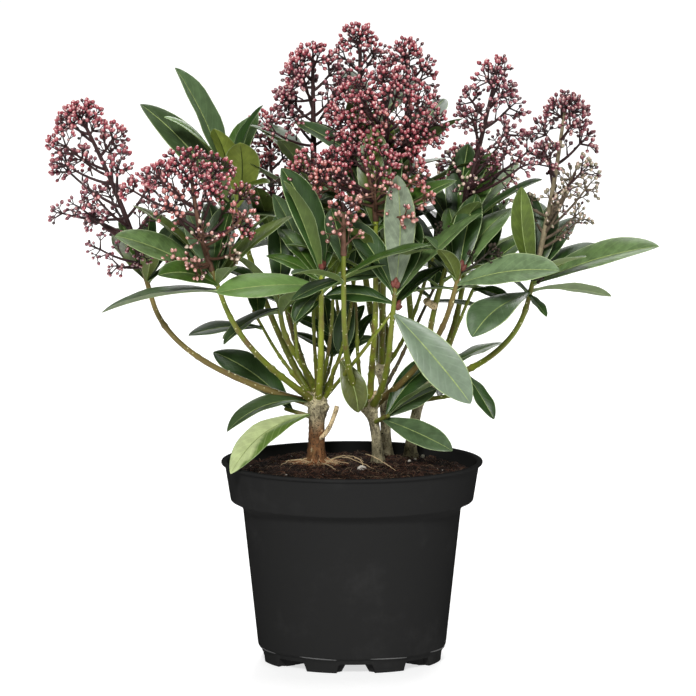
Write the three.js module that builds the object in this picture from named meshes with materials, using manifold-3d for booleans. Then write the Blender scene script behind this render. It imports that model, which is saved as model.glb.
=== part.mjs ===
// A skimmia in red bud, growing in a round nursery pot.
// Units are millimetres and degrees. +Z is up, +X runs to the plant's right, -Y is its front, and the
// origin is the middle of the pot's underside. A bearing is measured from +X towards +Y, and a pitch
// is measured up from the level.
import * as THREE from "three";
import { mergeVertices } from "three/addons/utils/BufferGeometryUtils.js";
import Module from "manifold-3d";

const wasm = await Module();
wasm.setup();
const { Manifold, Mesh } = wasm;

// ---------------------------------------------------------------- driving dimensions

const GAP = 0.35; // clearance between one piece and the next

const POT = {
  height: 146,
  lipRadius: 95,
  lipThick: 2.6,
  lipFall: 0.4,
  collarTop: 92.4,
  collarFoot: 88.2,
  collarHeight: 31,
  bodyTop: 79.2,
  bodyFoot: 68.4,
  floor: 8.6,
  wall: 1.8,
  sides: 36,
};
// The pot's foot is a low drum, with a bevel from its top to the body's foot.
const FOOT = { radius: 65.4, draft: 0.8, top: 7.6, bevelTop: 11 };
// The step from body to collar, in heights below and above the collar's foot, and in radius.
const SHOULDER = { foot: 4.6, bend: 3.4, top: 1.6, inset: 4.4, fillet: 0.4 };
const CHANNEL = { count: 8, below: 1, height: 6.4, mouth: 21, roof: 13, inner: 24, outer: 72.4 };
const DRAIN = { radius: 4.2, out: 50, sides: 8 };
const SOIL = { edge: 136.5, top: 141, plateau: 74, sides: 18 };

const TRUNK = { sides: 7, steps: 4, flare: 0.45, flareReach: 0.1, taper: 0.12 };
const LIMB = { sides: 5, steps: 7, foot: 2.6, tip: 2.1, footPull: 20, tipPull: 0.34 };
// A whorl's stem, and the stretch of it that the added leaves take.
const STEM = { radius: 2.3, tip: 1.9, length: 24, sprig: 16, sides: 5, lowest: 0.1, highest: 0.8 };
const LEAF = { width: 0.3, thick: 1.1, fold: 15, petiole: 1, root: 0.4, arch: 24, crowd: 26 };
const LEAF_STATIONS = [0, 0.3, 0.64, 1]; // where its rings lie, as shares of its length
const BLADE = { base: 1.15, tip: 0.78 }; // powers that round a leaf's outline off at its two ends
const SEAT = { base: 65, spread: 150, lowest: 0.16, highest: 0.76 };
const FILL = { pitch: 4, climb: 36, spread: 20, length: 66, vary: 14 };
const HEAD = { root: 0.6, twig: 0.9, climb: 42, tuck: 0.3, radius: 13.5, rise: 14, brim: 0.5, vary: 0.16 };
const STALK = { foot: 1.9, tip: 1.4, sides: 4, steps: 3, pull: 0.45 };
const BRANCH = { first: 0.1, apart: 0.02, last: 0.95, crown: 0.85 }; // shares of the axis they leave
const RING = { divisions: 36, crowding: 1.35 }; // places that a bent cylinder's rings can take
const GOLDEN = 137.5;

// Four woody stems rise from one clump. foot is the place on the soil, fork the centre of the knob.
const TRUNKS = {
  left: { foot: [-26, 19], fork: [-25, 17, 184], radius: 5.6, knob: 8.6 },
  centre: { foot: [19, 24], fork: [13, 21, 181], radius: 3.9, knob: 6.6 },
  back: { foot: [25, 56], fork: [22, 50, 205], radius: 3.9, knob: 6.2 },
  right: { foot: [43, 48], fork: [55, 50, 195], radius: 4, knob: 6.4 },
};

// Each shoot leaves its trunk's knob at the bearing and pitch of leave, and reaches tip at those of
// rise. A leaf is [bearing, pitch, length, face, arch], where face turns its upper side to the front
// and arch can be left out. fill is how many more leaves the golden angle tries. The panicle's axis
// ends at its tip, and its heads of bud lie on a dome of that reach over the middle of the axis, and
// below that as far as skirt, a share of the dome's height.
const SHOOTS = {
  far_left: {
    trunk: "left", leave: [188, 16], tip: [-144, -5, 262], rise: [180, 74],
    leaves: [[118, 34, 60, 10], [80, 24, 64, 0], [276, 40, 40, 0], [40, 44, 60, 20]],
    fill: 0, panicle: { tip: [-201, -8, 408], reach: 42, heads: 16, skirt: 0.85 },
  },
  left_front: {
    trunk: "left", leave: [228, 36], tip: [-92, -52, 268], rise: [190, 70],
    leaves: [
      [190, 26, 82, 30], [176, 42, 80, 8], [228, 14, 60, 20], [186, -10, 86, 4], [30, 34, 80, 0],
      [-74, 22, 44, 0],
    ],
    fill: 2, panicle: { tip: [-116, -60, 382], reach: 50, heads: 16, skirt: 0.45 },
  },
  left_back: {
    trunk: "left", leave: [146, 46], tip: [-75, 35, 292], rise: [160, 72], leafy: 56,
    leaves: [
      [192, 66, 98, 40], [176, 43, 98, 45], [206, 36, 78, 8], [-86, 60, 62, 0], [60, 52, 66, 0],
      [0, 68, 66, 20], [100, 30, 66, 0], [-50, 16, 46, 20],
    ],
    fill: 2,
  },
  left_low: {
    trunk: "left", leave: [236, 80], tip: [-51, -12, 250], rise: [220, 80],
    leaves: [[206, -14, 60, 6], [150, -26, 54, 0], [-20, 40, 48, 10]],
    fill: 4,
  },
  front_left: {
    trunk: "left", leave: [276, 44], tip: [-22, -44, 268], rise: [270, 82],
    leaves: [[207, 0, 84, 34], [226, 62, 82, 20], [-14, 40, 34, 10], [244, -22, 46, 0]],
    fill: 2,
  },
  top_left: {
    trunk: "left", leave: [50, 62], tip: [-28, 35, 292], rise: [90, 86], leafy: 70,
    leaves: [[206, 34, 62, 10], [128, 26, 70, 0]],
    fill: 10, panicle: { tip: [-29, 38, 448], reach: 32, heads: 12, skirt: 0.3 },
  },
  back_left: {
    trunk: "left", leave: [100, 20], tip: [-54, 88, 278], rise: [110, 72],
    leaves: [[96, 12, 78, 0], [150, 20, 80, 0]],
    fill: 8, panicle: { tip: [-60, 96, 370], reach: 36, heads: 10, skirt: 0.2 },
  },
  centre_low: {
    trunk: "centre", leave: [226, 30], tip: [-6, -68, 280], rise: [270, 82],
    leaves: [[104, 44, 52, 20]],
    fill: 4, panicle: { tip: [-6, -72, 348], reach: 16, heads: 5, skirt: 0.3 },
  },
  centre_front: {
    trunk: "centre", leave: [276, 84], tip: [17, -25, 270], rise: [270, 84], leafy: 54,
    leaves: [[10, 32, 70, 20], [160, 20, 62, 0]],
    fill: 7, panicle: { tip: [3, -36, 380], reach: 54, heads: 16, skirt: 0.1 },
  },
  centre_right: {
    trunk: "centre", leave: [298, 28], tip: [29, -38, 254], rise: [300, 80],
    leaves: [[186, 50, 48, 10], [-84, 80, 90, 0], [14, 42, 88, 6], [180, 6, 50, 40], [-14, -48, 86, 66]],
    fill: 2,
  },
  right_mid: {
    trunk: "centre", leave: [4, 34], tip: [72, -28, 266], rise: [330, 74],
    leaves: [[-24, 10, 82, 48], [48, 38, 76, 12], [-112, 36, 44, 0], [160, -8, 36, 0], [64, -10, 56, 0]],
    fill: 2,
  },
  centre_top: {
    trunk: "back", leave: [268, 60], tip: [23, 11, 292], rise: [280, 84], leafy: 70,
    leaves: [[160, 28, 80, 30]],
    fill: 9, panicle: { tip: [22, 0, 434], reach: 47, heads: 15, skirt: 0.15 },
  },
  top_centre: {
    trunk: "back", leave: [110, 60], tip: [6, 63, 320], rise: [90, 86], leafy: 70,
    leaves: [[100, 34, 68, 0]],
    fill: 10, panicle: { tip: [6, 64, 459], reach: 24, heads: 9, skirt: 0.1 },
  },
  back_centre: {
    trunk: "back", leave: [60, 20], tip: [18, 112, 282], rise: [80, 74],
    leaves: [[84, 12, 80, 0], [40, 20, 78, 0]],
    fill: 8, panicle: { tip: [20, 118, 384], reach: 42, heads: 12, skirt: 0.2 },
  },
  top_right: {
    trunk: "right", leave: [160, 62], tip: [40, 41, 306], rise: [90, 86], leafy: 70,
    leaves: [[60, 30, 66, 0]],
    fill: 10, panicle: { tip: [42, 44, 450], reach: 27, heads: 9, skirt: 0.1 },
  },
  right_top: {
    trunk: "right", leave: [270, 44], tip: [62, 13, 263], rise: [350, 74], leafy: 52,
    leaves: [[42, 38, 82, 10], [-28, 34, 86, 20]],
    fill: 7, panicle: { tip: [107, 8, 440], reach: 34, heads: 14, skirt: 0.25 },
  },
  far_right: {
    trunk: "right", leave: [345, 14], tip: [127, -8, 262], rise: [10, 76],
    leaves: [
      [-12, 18, 98, 26], [232, -20, 74, 10], [24, -8, 66, 4], [-96, -30, 38, 0], [-112, 70, 74, 0, -20],
      [84, 46, 70, 0], [48, 42, 62, 10], [30, 24, 62, 10],
    ],
    fill: 2, panicle: { tip: [155, -4, 416], reach: 33, heads: 13, skirt: 0.35 },
  },
  back_right: {
    trunk: "right", leave: [60, 24], tip: [82, 96, 264], rise: [60, 74],
    leaves: [[50, 10, 80, 0], [10, 16, 76, 0]],
    fill: 8, panicle: { tip: [84, 104, 366], reach: 38, heads: 11, skirt: 0.2 },
  },
};

// Short leafy sprigs low on the trunks. height is the share of the way up the trunk.
const SPRIGS = {
  low_left: {
    trunk: "left", height: 0.76, leave: [172, 16],
    leaves: [[224, -8, 74, 0], [238, -20, 94, 14], [150, 30, 78, 30]],
  },
  low_centre: {
    trunk: "centre", height: 0.72, leave: [300, 20],
    leaves: [[-36, -16, 72, 44], [-8, 34, 50, 0]],
  },
  low_right: {
    trunk: "right", height: 0.76, leave: [350, 10],
    leaves: [[-40, -20, 60, 30], [24, 12, 60, 0], [80, 10, 60, 0]],
  },
};

const WHORLS = { ...SPRIGS, ...SHOOTS };

const FINISH = {
  pot: { color: 0x232424, roughness: 0.42 },
  soil: { color: 0x2a1c16, roughness: 0.95 },
  bark: { color: 0x8a7a62, roughness: 0.85 },
  stem: { color: 0x76802c, roughness: 0.6 },
  leaf: { color: 0x3f5a34, roughness: 0.4 },
  bud: { color: 0x9a3f4a, roughness: 0.45 },
};

// ---------------------------------------------------------------- small tools

const UP = new THREE.Vector3(0, 0, 1);
const rad = THREE.MathUtils.degToRad;
const clamp = THREE.MathUtils.clamp;
const vec = (a) => new THREE.Vector3(...a);
const sum = (point, direction, distance) => point.clone().addScaledVector(direction, distance);

// The unit vector at a bearing and a pitch.
function heading(bearing, pitch) {
  const level = Math.cos(rad(pitch));
  const east = Math.cos(rad(bearing)) * level;
  const north = Math.sin(rad(bearing)) * level;
  return new THREE.Vector3(east, north, Math.sin(rad(pitch)));
}

// A seeded stream of numbers from 0 to 1 (mulberry32), with a name's letters as its seed.
function stream(name) {
  let state = [...name].reduce((hash, letter) => (Math.imul(hash, 31) + letter.charCodeAt(0)) >>> 0, 7);
  return () => {
    state = (state + 0x6d2b79f5) >>> 0;
    let t = Math.imul(state ^ (state >>> 15), 1 | state);
    t = (t + Math.imul(t ^ (t >>> 7), 61 | t)) ^ t;
    return ((t ^ (t >>> 14)) >>> 0) / 4294967296;
  };
}

// A closed three.js geometry as a manifold solid.
function solid(geometry) {
  const bare = new THREE.BufferGeometry();
  bare.setAttribute("position", geometry.getAttribute("position"));
  bare.setIndex(geometry.getIndex());
  const { attributes, index } = mergeVertices(bare, 1e-4);
  const vertProperties = new Float32Array(attributes.position.array);
  return new Manifold(new Mesh({ numProp: 3, vertProperties, triVerts: new Uint32Array(index.array) }));
}

// A manifold solid as a three.js geometry.
function geometryOf(made) {
  const mesh = made.getMesh();
  const geometry = new THREE.BufferGeometry();
  geometry.setAttribute("position", new THREE.BufferAttribute(mesh.vertProperties, 3));
  geometry.setIndex(new THREE.BufferAttribute(mesh.triVerts, 1));
  geometry.computeVertexNormals();
  return geometry;
}

// A unit cylinder bent along a curve, each ring scaled to the radius there. The rings lie closer
// together near the curve's foot, where limbs bend most.
function taper(curve, radiusAt, sides, steps) {
  const geometry = new THREE.CylinderGeometry(1, 1, 1, sides, steps);
  const frames = curve.computeFrenetFrames(RING.divisions, false);
  const position = geometry.attributes.position;
  for (let i = 0; i < position.count; i++) {
    const ring = Math.round(RING.divisions * (position.getY(i) + 0.5) ** RING.crowding);
    const point = curve.getPointAt(ring / RING.divisions);
    const radius = radiusAt(ring / RING.divisions);
    point.addScaledVector(frames.normals[ring], radius * position.getX(i));
    point.addScaledVector(frames.binormals[ring], -radius * position.getZ(i));
    position.setXYZ(i, point.x, point.y, point.z);
  }
  return solid(geometry);
}

// ---------------------------------------------------------------- pot and soil

// The outer face of the pot from the floor up, and the inner face back down to the floor.
function potProfile() {
  const { height, lipRadius, lipThick, lipFall, collarTop, collarFoot, bodyTop, bodyFoot, wall } = POT;
  const { foot, bend, top, inset, fillet } = SHOULDER;
  const step = height - POT.collarHeight;
  const outer = [
    [0, 0],
    [FOOT.radius, 0],
    [FOOT.radius + FOOT.draft, FOOT.top],
    [bodyFoot, FOOT.bevelTop],
    [bodyTop, step - foot],
    [collarFoot - inset, step - bend],
    [collarFoot, step + top],
    [collarTop, height - lipThick],
    [lipRadius, height - lipThick + lipFall],
    [lipRadius, height],
  ];
  const inner = [
    [collarTop - wall, height],
    [collarFoot - wall, step + top + fillet],
    [collarFoot - inset - fillet, step - bend + wall],
    [bodyTop - wall, step - foot + wall],
    [bodyFoot - wall - fillet, POT.floor],
    [0, POT.floor],
  ];
  return { outer, inner };
}

function lathe(points, sides) {
  const profile = points.map(([radius, z]) => new THREE.Vector2(radius, z));
  return solid(new THREE.LatheGeometry(profile, sides).rotateX(Math.PI / 2));
}

// The shell, with radial drainage channels under its floor and a drain hole in the roof of each.
function makePot() {
  const { outer, inner } = potProfile();
  const section = new THREE.Shape([
    new THREE.Vector2(-CHANNEL.mouth / 2, -CHANNEL.below),
    new THREE.Vector2(CHANNEL.mouth / 2, -CHANNEL.below),
    new THREE.Vector2(CHANNEL.roof / 2, CHANNEL.height),
    new THREE.Vector2(-CHANNEL.roof / 2, CHANNEL.height),
  ]);
  const depth = CHANNEL.outer - CHANNEL.inner;
  let pot = lathe([...outer, ...inner], POT.sides);
  for (let i = 0; i < CHANNEL.count; i++) {
    const turn = (i * 2 * Math.PI) / CHANNEL.count;
    const channel = new THREE.ExtrudeGeometry(section, { depth, bevelEnabled: false })
      .rotateX(Math.PI / 2)
      .translate(0, -CHANNEL.inner, 0)
      .rotateZ(turn);
    const drain = new THREE.CylinderGeometry(DRAIN.radius, DRAIN.radius, POT.floor * 2, DRAIN.sides)
      .rotateX(Math.PI / 2)
      .translate(0, -DRAIN.out, POT.floor)
      .rotateZ(turn);
    pot = pot.subtract(solid(channel)).subtract(solid(drain));
  }
  return pot;
}

// The soil fills the shell to just under the lip, with a level crown where the trunks stand.
function makeSoil() {
  const [top, ...inner] = potProfile().inner;
  const fit = inner.map(([radius, z]) => [Math.max(radius - GAP, 0), z + GAP]);
  const slope = (top[0] - inner[0][0]) / (top[1] - inner[0][1]);
  const edgeRadius = fit[0][0] + slope * (SOIL.edge - fit[0][1]);
  const rim = [[edgeRadius, SOIL.edge], [SOIL.plateau, SOIL.top], [0, SOIL.top]];
  return lathe([...fit.reverse(), ...rim], SOIL.sides);
}

// ---------------------------------------------------------------- trunks and limbs

// A trunk's centre line, from its flat cut at the soil to the middle of its knob.
function trunkLine(trunk) {
  const foot = new THREE.Vector3(...trunk.foot, SOIL.top + GAP);
  const fork = vec(trunk.fork);
  const bend = new THREE.Vector3(foot.x, foot.y, (foot.z + fork.z) / 2);
  return new THREE.QuadraticBezierCurve3(foot, bend, fork);
}

// The root flare dies away up the trunk, which tapers a little to the knob where its limbs part.
function makeTrunk(trunk, grow = 0) {
  const { taper: narrowing, flare, flareReach, sides, steps } = TRUNK;
  const radiusAt = (t) => grow + trunk.radius * (1 - narrowing * t + flare * Math.exp(-t / flareReach));
  const knob = new THREE.IcosahedronGeometry(trunk.knob + grow, 1).translate(...trunk.fork);
  return taper(trunkLine(trunk), radiusAt, sides, steps).add(solid(knob));
}

// A limb leaves the middle of the knob, then bends round to the rise of its own shoot.
function limbLine(shoot) {
  const foot = vec(TRUNKS[shoot.trunk].fork);
  const tip = vec(shoot.tip);
  const rise = heading(...shoot.rise);
  const { knob } = TRUNKS[shoot.trunk];
  return new THREE.CubicBezierCurve3(
    foot,
    sum(foot, heading(...shoot.leave), knob + LIMB.footPull),
    sum(tip, rise, -LIMB.tipPull * foot.distanceTo(tip)),
    tip,
  );
}

function makeLimb(shoot) {
  const radiusAt = (t) => LIMB.foot + (LIMB.tip - LIMB.foot) * t;
  const limb = taper(limbLine(shoot), radiusAt, LIMB.sides, LIMB.steps);
  return limb.subtract(makeTrunk(TRUNKS[shoot.trunk], GAP));
}

// ---------------------------------------------------------------- leaves

// Half the width along a leaf: a narrow stalk, widest past the middle, and a pointed tip.
function halfWidth(leaf, u) {
  const shape = (v) => v ** BLADE.base * (1 - v) ** BLADE.tip;
  const widest = BLADE.base / (BLADE.base + BLADE.tip);
  return (LEAF.width / 2) * leaf.length * (shape(u) / shape(widest)) + LEAF.petiole * (1 - u);
}

// The midrib bends steadily in one upright plane: its pitch falls by the arch from root to tip.
function midrib(leaf, u) {
  const start = rad(leaf.pitch + leaf.arch / 2);
  const turn = -rad(leaf.arch);
  const end = start + turn * u;
  const flat = heading(leaf.bearing, 0);
  const point = sum(leaf.root, flat, (leaf.length * (Math.sin(end) - Math.sin(start))) / turn);
  point.z += (leaf.length * (Math.cos(start) - Math.cos(end))) / turn;
  const tangent = flat.multiplyScalar(Math.cos(end)).addScaledVector(UP, Math.sin(end));
  return { point, tangent };
}

// A leaf is a four-sided cone bent along its midrib: two edges raised in a shallow fold, and a rib
// above and below. Its face rolls the upper side towards the front.
function makeLeaf(leaf) {
  const rings = LEAF_STATIONS.length - 1;
  const geometry = new THREE.CylinderGeometry(0, 1, 1, 4, rings);
  const position = geometry.attributes.position;
  const roll = rad(leaf.face) * (Math.cos(rad(leaf.bearing)) < 0 ? -1 : 1);
  const level = UP.clone().cross(heading(leaf.bearing, 0));
  const signOf = (place) => Math.sign(Math.round(place * (rings + 1)));
  for (let i = 0; i < position.count; i++) {
    const u = LEAF_STATIONS[Math.round((position.getY(i) + 0.5) * rings)];
    const { point, tangent } = midrib(leaf, u);
    const side = level.clone().applyAxisAngle(tangent, roll);
    const normal = tangent.clone().cross(side);
    const width = signOf(position.getX(i)) * halfWidth(leaf, u);
    const rib = (signOf(position.getZ(i)) * LEAF.thick) / 2;
    point.addScaledVector(side, -width);
    point.addScaledVector(normal, rib + Math.abs(width) * Math.tan(rad(LEAF.fold)));
    position.setXYZ(i, point.x, point.y, point.z);
  }
  return solid(geometry);
}

// Whether a leaf grows too near to another, and too much the same way.
function crowds(leaf, other) {
  const turn = heading(leaf.bearing, leaf.pitch).angleTo(heading(other.bearing, other.pitch));
  return other.root.distanceTo(leaf.root) < STEM.length && turn < rad(LEAF.crowd);
}

// A whorl's leaves: those that its shoot names, near the stem's end with the steep ones highest, and
// those that the golden angle adds all along it, each turned well away from the leaves before it.
function whorlLeaves(name, shoot) {
  const { foot, rise, bare, length: leafy } = stemOf(shoot);
  const random = stream(name);
  const place = (along, [bearing, pitch, length, face, arch = LEAF.arch]) => {
    const root = sum(foot, rise, bare + along).addScaledVector(heading(bearing, 0), LEAF.root);
    return { root, bearing, pitch, length, face, arch };
  };
  const whorl = Math.min(leafy, STEM.length);
  const named = shoot.leaves.map((leaf) => {
    const share = clamp((leaf[1] + SEAT.base) / SEAT.spread, SEAT.lowest, SEAT.highest);
    return place(leafy - (1 - share) * whorl, leaf);
  });
  const added = [];
  const first = 360 * random();
  for (let k = 0; k < (shoot.fill ?? 0); k++) {
    const share = (k + 0.5) / shoot.fill;
    const along = leafy * (STEM.lowest + (STEM.highest - STEM.lowest) * share);
    const pitch = FILL.pitch + FILL.climb * share + FILL.spread * (random() - 0.5);
    const leaf = place(along, [first + k * GOLDEN, pitch, FILL.length + FILL.vary * (random() - 0.5), 0]);
    if (![...named, ...added].some((other) => crowds(leaf, other))) added.push(leaf);
  }
  return { named, added };
}

// ---------------------------------------------------------------- panicles

// The heads lie on a dome over the middle of the axis and on the skirt below it, turned by the golden
// angle from the lowest up. Each hangs on a branch that climbs from the axis, and one ends the axis.
function panicleHeads(name, shoot, line) {
  const { reach, heads, skirt } = shoot.panicle;
  const random = stream(`${name}_buds`);
  const middle = line.getPointAt(0.5);
  const crown = line.getPointAt(1).sub(middle);
  const length = line.getLength();
  const made = [];
  for (let k = 0; k < heads - 1; k++) {
    const level = -skirt + ((1 + skirt) * (k + 0.5)) / heads;
    const out = heading(k * GOLDEN, 0);
    const bulge = level > 0 ? Math.sqrt(1 - level * level) : 1 + HEAD.tuck * level;
    const spread = reach * bulge * (1 - HEAD.vary * random());
    const end = sum(sum(middle, crown, level), out, spread);
    const share = 0.5 + 0.5 * level - (spread * Math.tan(rad(HEAD.climb))) / length;
    const start = line.getPointAt(clamp(share, BRANCH.first + BRANCH.apart * k, BRANCH.last));
    made.push(headOn(start, end, random));
  }
  made.push(headOn(line.getPointAt(BRANCH.crown), line.getPointAt(1), random));
  return made;
}

// A head ends at a point of the dome, so its twig opens short of that by the head's rise.
function headOn(start, end, random) {
  const way = end.clone().sub(start).normalize();
  const size = 1 - HEAD.vary * random();
  return { start, foot: sum(end, way, -HEAD.rise * size), way, size, turn: 360 * random() };
}

// A head of bud and its branch in one: a thin twig that opens into a four-sided double cone.
function makeHead(head) {
  const across = UP.clone().cross(head.way).normalize().applyAxisAngle(head.way, rad(head.turn));
  const over = across.clone().cross(head.way);
  const rise = HEAD.rise * head.size;
  const heights = [-head.foot.distanceTo(head.start), 0, rise * HEAD.brim, rise];
  const radii = [HEAD.root, HEAD.twig, HEAD.radius * head.size, 0];
  const geometry = new THREE.CylinderGeometry(0, 1, 1, 4, 3);
  const position = geometry.attributes.position;
  for (let i = 0; i < position.count; i++) {
    const ring = Math.round((position.getY(i) + 0.5) * 3);
    const onAxis = position.getX(i) === 0 && position.getZ(i) === 0;
    const reach = onAxis ? 0 : radii[ring];
    const angle = Math.atan2(position.getX(i), position.getZ(i));
    const point = sum(head.foot, head.way, heights[ring]);
    point.addScaledVector(across, reach * Math.sin(angle)).addScaledVector(over, reach * Math.cos(angle));
    position.setXYZ(i, point.x, point.y, point.z);
  }
  return solid(geometry);
}

// ---------------------------------------------------------------- growing

// Every piece grown so far, in its node. A piece is let in only where it is clear of other nodes.
const nodes = new Map();

function isClear(name, piece) {
  const { min, max } = piece.boundingBox();
  const box = new THREE.Box3(vec(min), vec(max)).expandByScalar(GAP);
  for (const [other, pieces] of nodes) {
    if (other === name) continue;
    for (const there of pieces) {
      if (box.intersectsBox(there.box) && piece.minGap(there.made, GAP) < GAP) return false;
    }
  }
  return true;
}

function add(name, made) {
  const { min, max } = made.boundingBox();
  if (!nodes.has(name)) nodes.set(name, []);
  nodes.get(name).push({ made, box: new THREE.Box3(vec(min), vec(max)) });
}

function addIfClear(name, made) {
  const clear = isClear(name, made);
  if (clear) add(name, made);
  return clear;
}

// The stem of a whorl goes straight on from its limb. A sprig's starts inside its trunk, and is bare
// until it is clear of the knob.
function stemOf(shoot) {
  if (shoot.height) {
    const trunk = TRUNKS[shoot.trunk];
    const foot = trunkLine(trunk).getPointAt(shoot.height);
    return { foot, rise: heading(...shoot.leave), bare: trunk.knob, length: STEM.sprig };
  }
  const rise = heading(...shoot.rise);
  return { foot: sum(vec(shoot.tip), rise, GAP), rise, bare: 0, length: shoot.leafy ?? STEM.length };
}

function makeStem(shoot) {
  const { foot, rise, bare, length } = stemOf(shoot);
  const radiusAt = (t) => STEM.radius + (STEM.tip - STEM.radius) * t;
  const stem = taper(new THREE.LineCurve3(foot, sum(foot, rise, bare + length)), radiusAt, STEM.sides, 1);
  return shoot.height ? stem.subtract(makeTrunk(TRUNKS[shoot.trunk], GAP)) : stem;
}

// A panicle's axis goes on from the end of its whorl's stem.
function axisLine(shoot) {
  const { foot, rise, length } = stemOf(shoot);
  const start = sum(foot, rise, length + GAP);
  const tip = vec(shoot.panicle.tip);
  const bend = sum(start, rise, STALK.pull * start.distanceTo(tip));
  return new THREE.QuadraticBezierCurve3(start, bend, tip);
}

function makeAxis(shoot) {
  const radiusAt = (t) => STALK.foot + (STALK.tip - STALK.foot) * t;
  return taper(axisLine(shoot), radiusAt, STALK.sides, STALK.steps);
}

function growFrame() {
  add("pot", makePot());
  add("soil", makeSoil());
  for (const [name, trunk] of Object.entries(TRUNKS)) add(`trunk_${name}`, makeTrunk(trunk));
  for (const [name, shoot] of Object.entries(SHOOTS)) add(`limb_${name}`, makeLimb(shoot));
  for (const [name, shoot] of Object.entries(WHORLS)) add(`leaves_${name}`, makeStem(shoot));
  for (const [name, shoot] of Object.entries(SHOOTS)) {
    if (shoot.panicle) add(`buds_${name}`, makeAxis(shoot));
  }
}

function growLeaves(kind) {
  for (const [name, shoot] of Object.entries(WHORLS)) {
    for (const leaf of whorlLeaves(name, shoot)[kind]) addIfClear(`leaves_${name}`, makeLeaf(leaf));
  }
}

function growBuds() {
  for (const [name, shoot] of Object.entries(SHOOTS)) {
    if (!shoot.panicle) continue;
    for (const head of panicleHeads(name, shoot, axisLine(shoot))) {
      addIfClear(`buds_${name}`, makeHead(head));
    }
  }
}

// The largest body of a node's union, which leaves out loose scraps and fills sealed hollows.
function joined(pieces) {
  const bodies = Manifold.union(pieces.map((piece) => piece.made)).decompose();
  return bodies.reduce((best, body) => (body.volume() > best.volume() ? body : best));
}

function finishOf(name) {
  const kind = name.split("_")[0];
  const finish = { trunk: "bark", limb: "stem", leaves: "leaf", buds: "bud" }[kind] ?? kind;
  return new THREE.MeshStandardMaterial({ name: finish, ...FINISH[finish], metalness: 0 });
}

growFrame();
growLeaves("named");
growBuds();
growLeaves("added");

const group = new THREE.Group();
for (const [name, pieces] of nodes) {
  const mesh = new THREE.Mesh(geometryOf(joined(pieces)), finishOf(name));
  mesh.name = name;
  group.add(mesh);
}

export default group;
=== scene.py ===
"""A skimmia in red bud, growing in a round black nursery pot.

The tables hold millimetres, degrees and shares, and every mesh is in metres. +Z is up, -Y is the plant's
front, and the origin is the middle of the pot's underside. A bearing is measured from +X towards +Y, and a
pitch up from the level. The plant grows by the rule of its solids. A head of bud that the rule leaves out
there, because it would touch a neighbour, is left out here too, and such a leaf grows smaller and steeper.
"""
import math
from collections import namedtuple
from types import SimpleNamespace as Sizes

import bpy
import numpy as np
from bpy.props import FloatProperty, FloatVectorProperty, IntProperty, PointerProperty
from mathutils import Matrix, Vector


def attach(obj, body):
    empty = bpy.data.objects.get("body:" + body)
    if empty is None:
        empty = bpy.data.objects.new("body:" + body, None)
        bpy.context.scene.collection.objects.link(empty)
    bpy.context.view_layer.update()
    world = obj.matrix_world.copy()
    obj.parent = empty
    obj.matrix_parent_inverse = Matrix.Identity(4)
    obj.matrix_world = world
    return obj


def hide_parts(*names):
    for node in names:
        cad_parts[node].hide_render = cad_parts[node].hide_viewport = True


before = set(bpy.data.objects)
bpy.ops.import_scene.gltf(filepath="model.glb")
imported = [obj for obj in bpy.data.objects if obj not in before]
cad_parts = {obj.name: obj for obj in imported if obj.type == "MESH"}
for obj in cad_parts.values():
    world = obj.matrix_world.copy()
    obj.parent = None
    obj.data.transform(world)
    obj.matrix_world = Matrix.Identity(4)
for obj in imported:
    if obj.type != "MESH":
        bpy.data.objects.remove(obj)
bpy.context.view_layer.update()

bl_info = {
    "name": "Potted skimmia",
    "version": (1, 0, 0),
    "blender": (4, 5, 0),
    "location": "3D View > Sidebar > Skimmia",
    "description": "Grows a skimmia in red bud in its nursery pot around the packed solids",
    "category": "Add Mesh",
}

MM = 0.001
BODY = "root"
UP = np.array([0.0, 0.0, 1.0])
GOLDEN = 137.5

# ---------------------------------------------------------------- the rule's sizes

GAP = 0.35
TOUCH = 0.06  # how near a corner lies to its own place in the frame
SOIL = Sizes(edge=136.5, top=141.0, level=55.5, edge_radius=88.9)
LIMB = Sizes(foot_pull=20.0, tip_pull=0.34)
STEM = Sizes(length=24.0, sprig=16.0, lowest=0.1, highest=0.8)
LEAF = Sizes(width=0.3, fold=15.0, petiole=1.0, root=0.4, arch=24.0, crowd=26.0, cut=0.64)
BLADE = Sizes(base=1.15, tip=0.78)
SEAT = Sizes(base=65.0, spread=150.0, lowest=0.16, highest=0.76)
FILL = Sizes(pitch=4.0, climb=36.0, spread=20.0, length=66.0, vary=14.0, tones=("deep", "moss", "dull"))
HEAD = Sizes(climb=42.0, tuck=0.3, radius=13.5, rise=14.0, brim=0.5, vary=0.16)
BRANCH = Sizes(first=0.1, apart=0.02, last=0.95, crown=0.85, pull=0.45)

# A trunk's foot on the compost, the middle of its knob, its own radius and the knob's.
Trunk = namedtuple("Trunk", "foot fork radius knob")
TRUNKS = {
    "left": Trunk((-26, 19), (-25, 17, 184), 6.3, 8.6),
    "centre": Trunk((19, 24), (13, 21, 181), 3.9, 6.6),
    "back": Trunk((25, 56), (22, 50, 205), 3.9, 6.2),
    "right": Trunk((43, 48), (55, 50, 195), 4.0, 6.4),
}

# A limb leaves its trunk's knob at a bearing and pitch, and rises at another to its tip, where its whorl
# begins. fill is how many leaves the golden angle tries, leafy is the length of the whorl's stem, and
# height is how far up its trunk a sprig sits, as a share.
Shoot = namedtuple(
    "Shoot", "trunk leave tip rise leaves fill leafy panicle height",
    defaults=(None, None, (), 0, STEM.length, None, None))
# The end of a panicle's axis, the reach of its dome, how many heads the rule tries, and how far they go on
# below the middle of the axis, as a share of its upper half.
Panicle = namedtuple("Panicle", "tip reach heads skirt")

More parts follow.
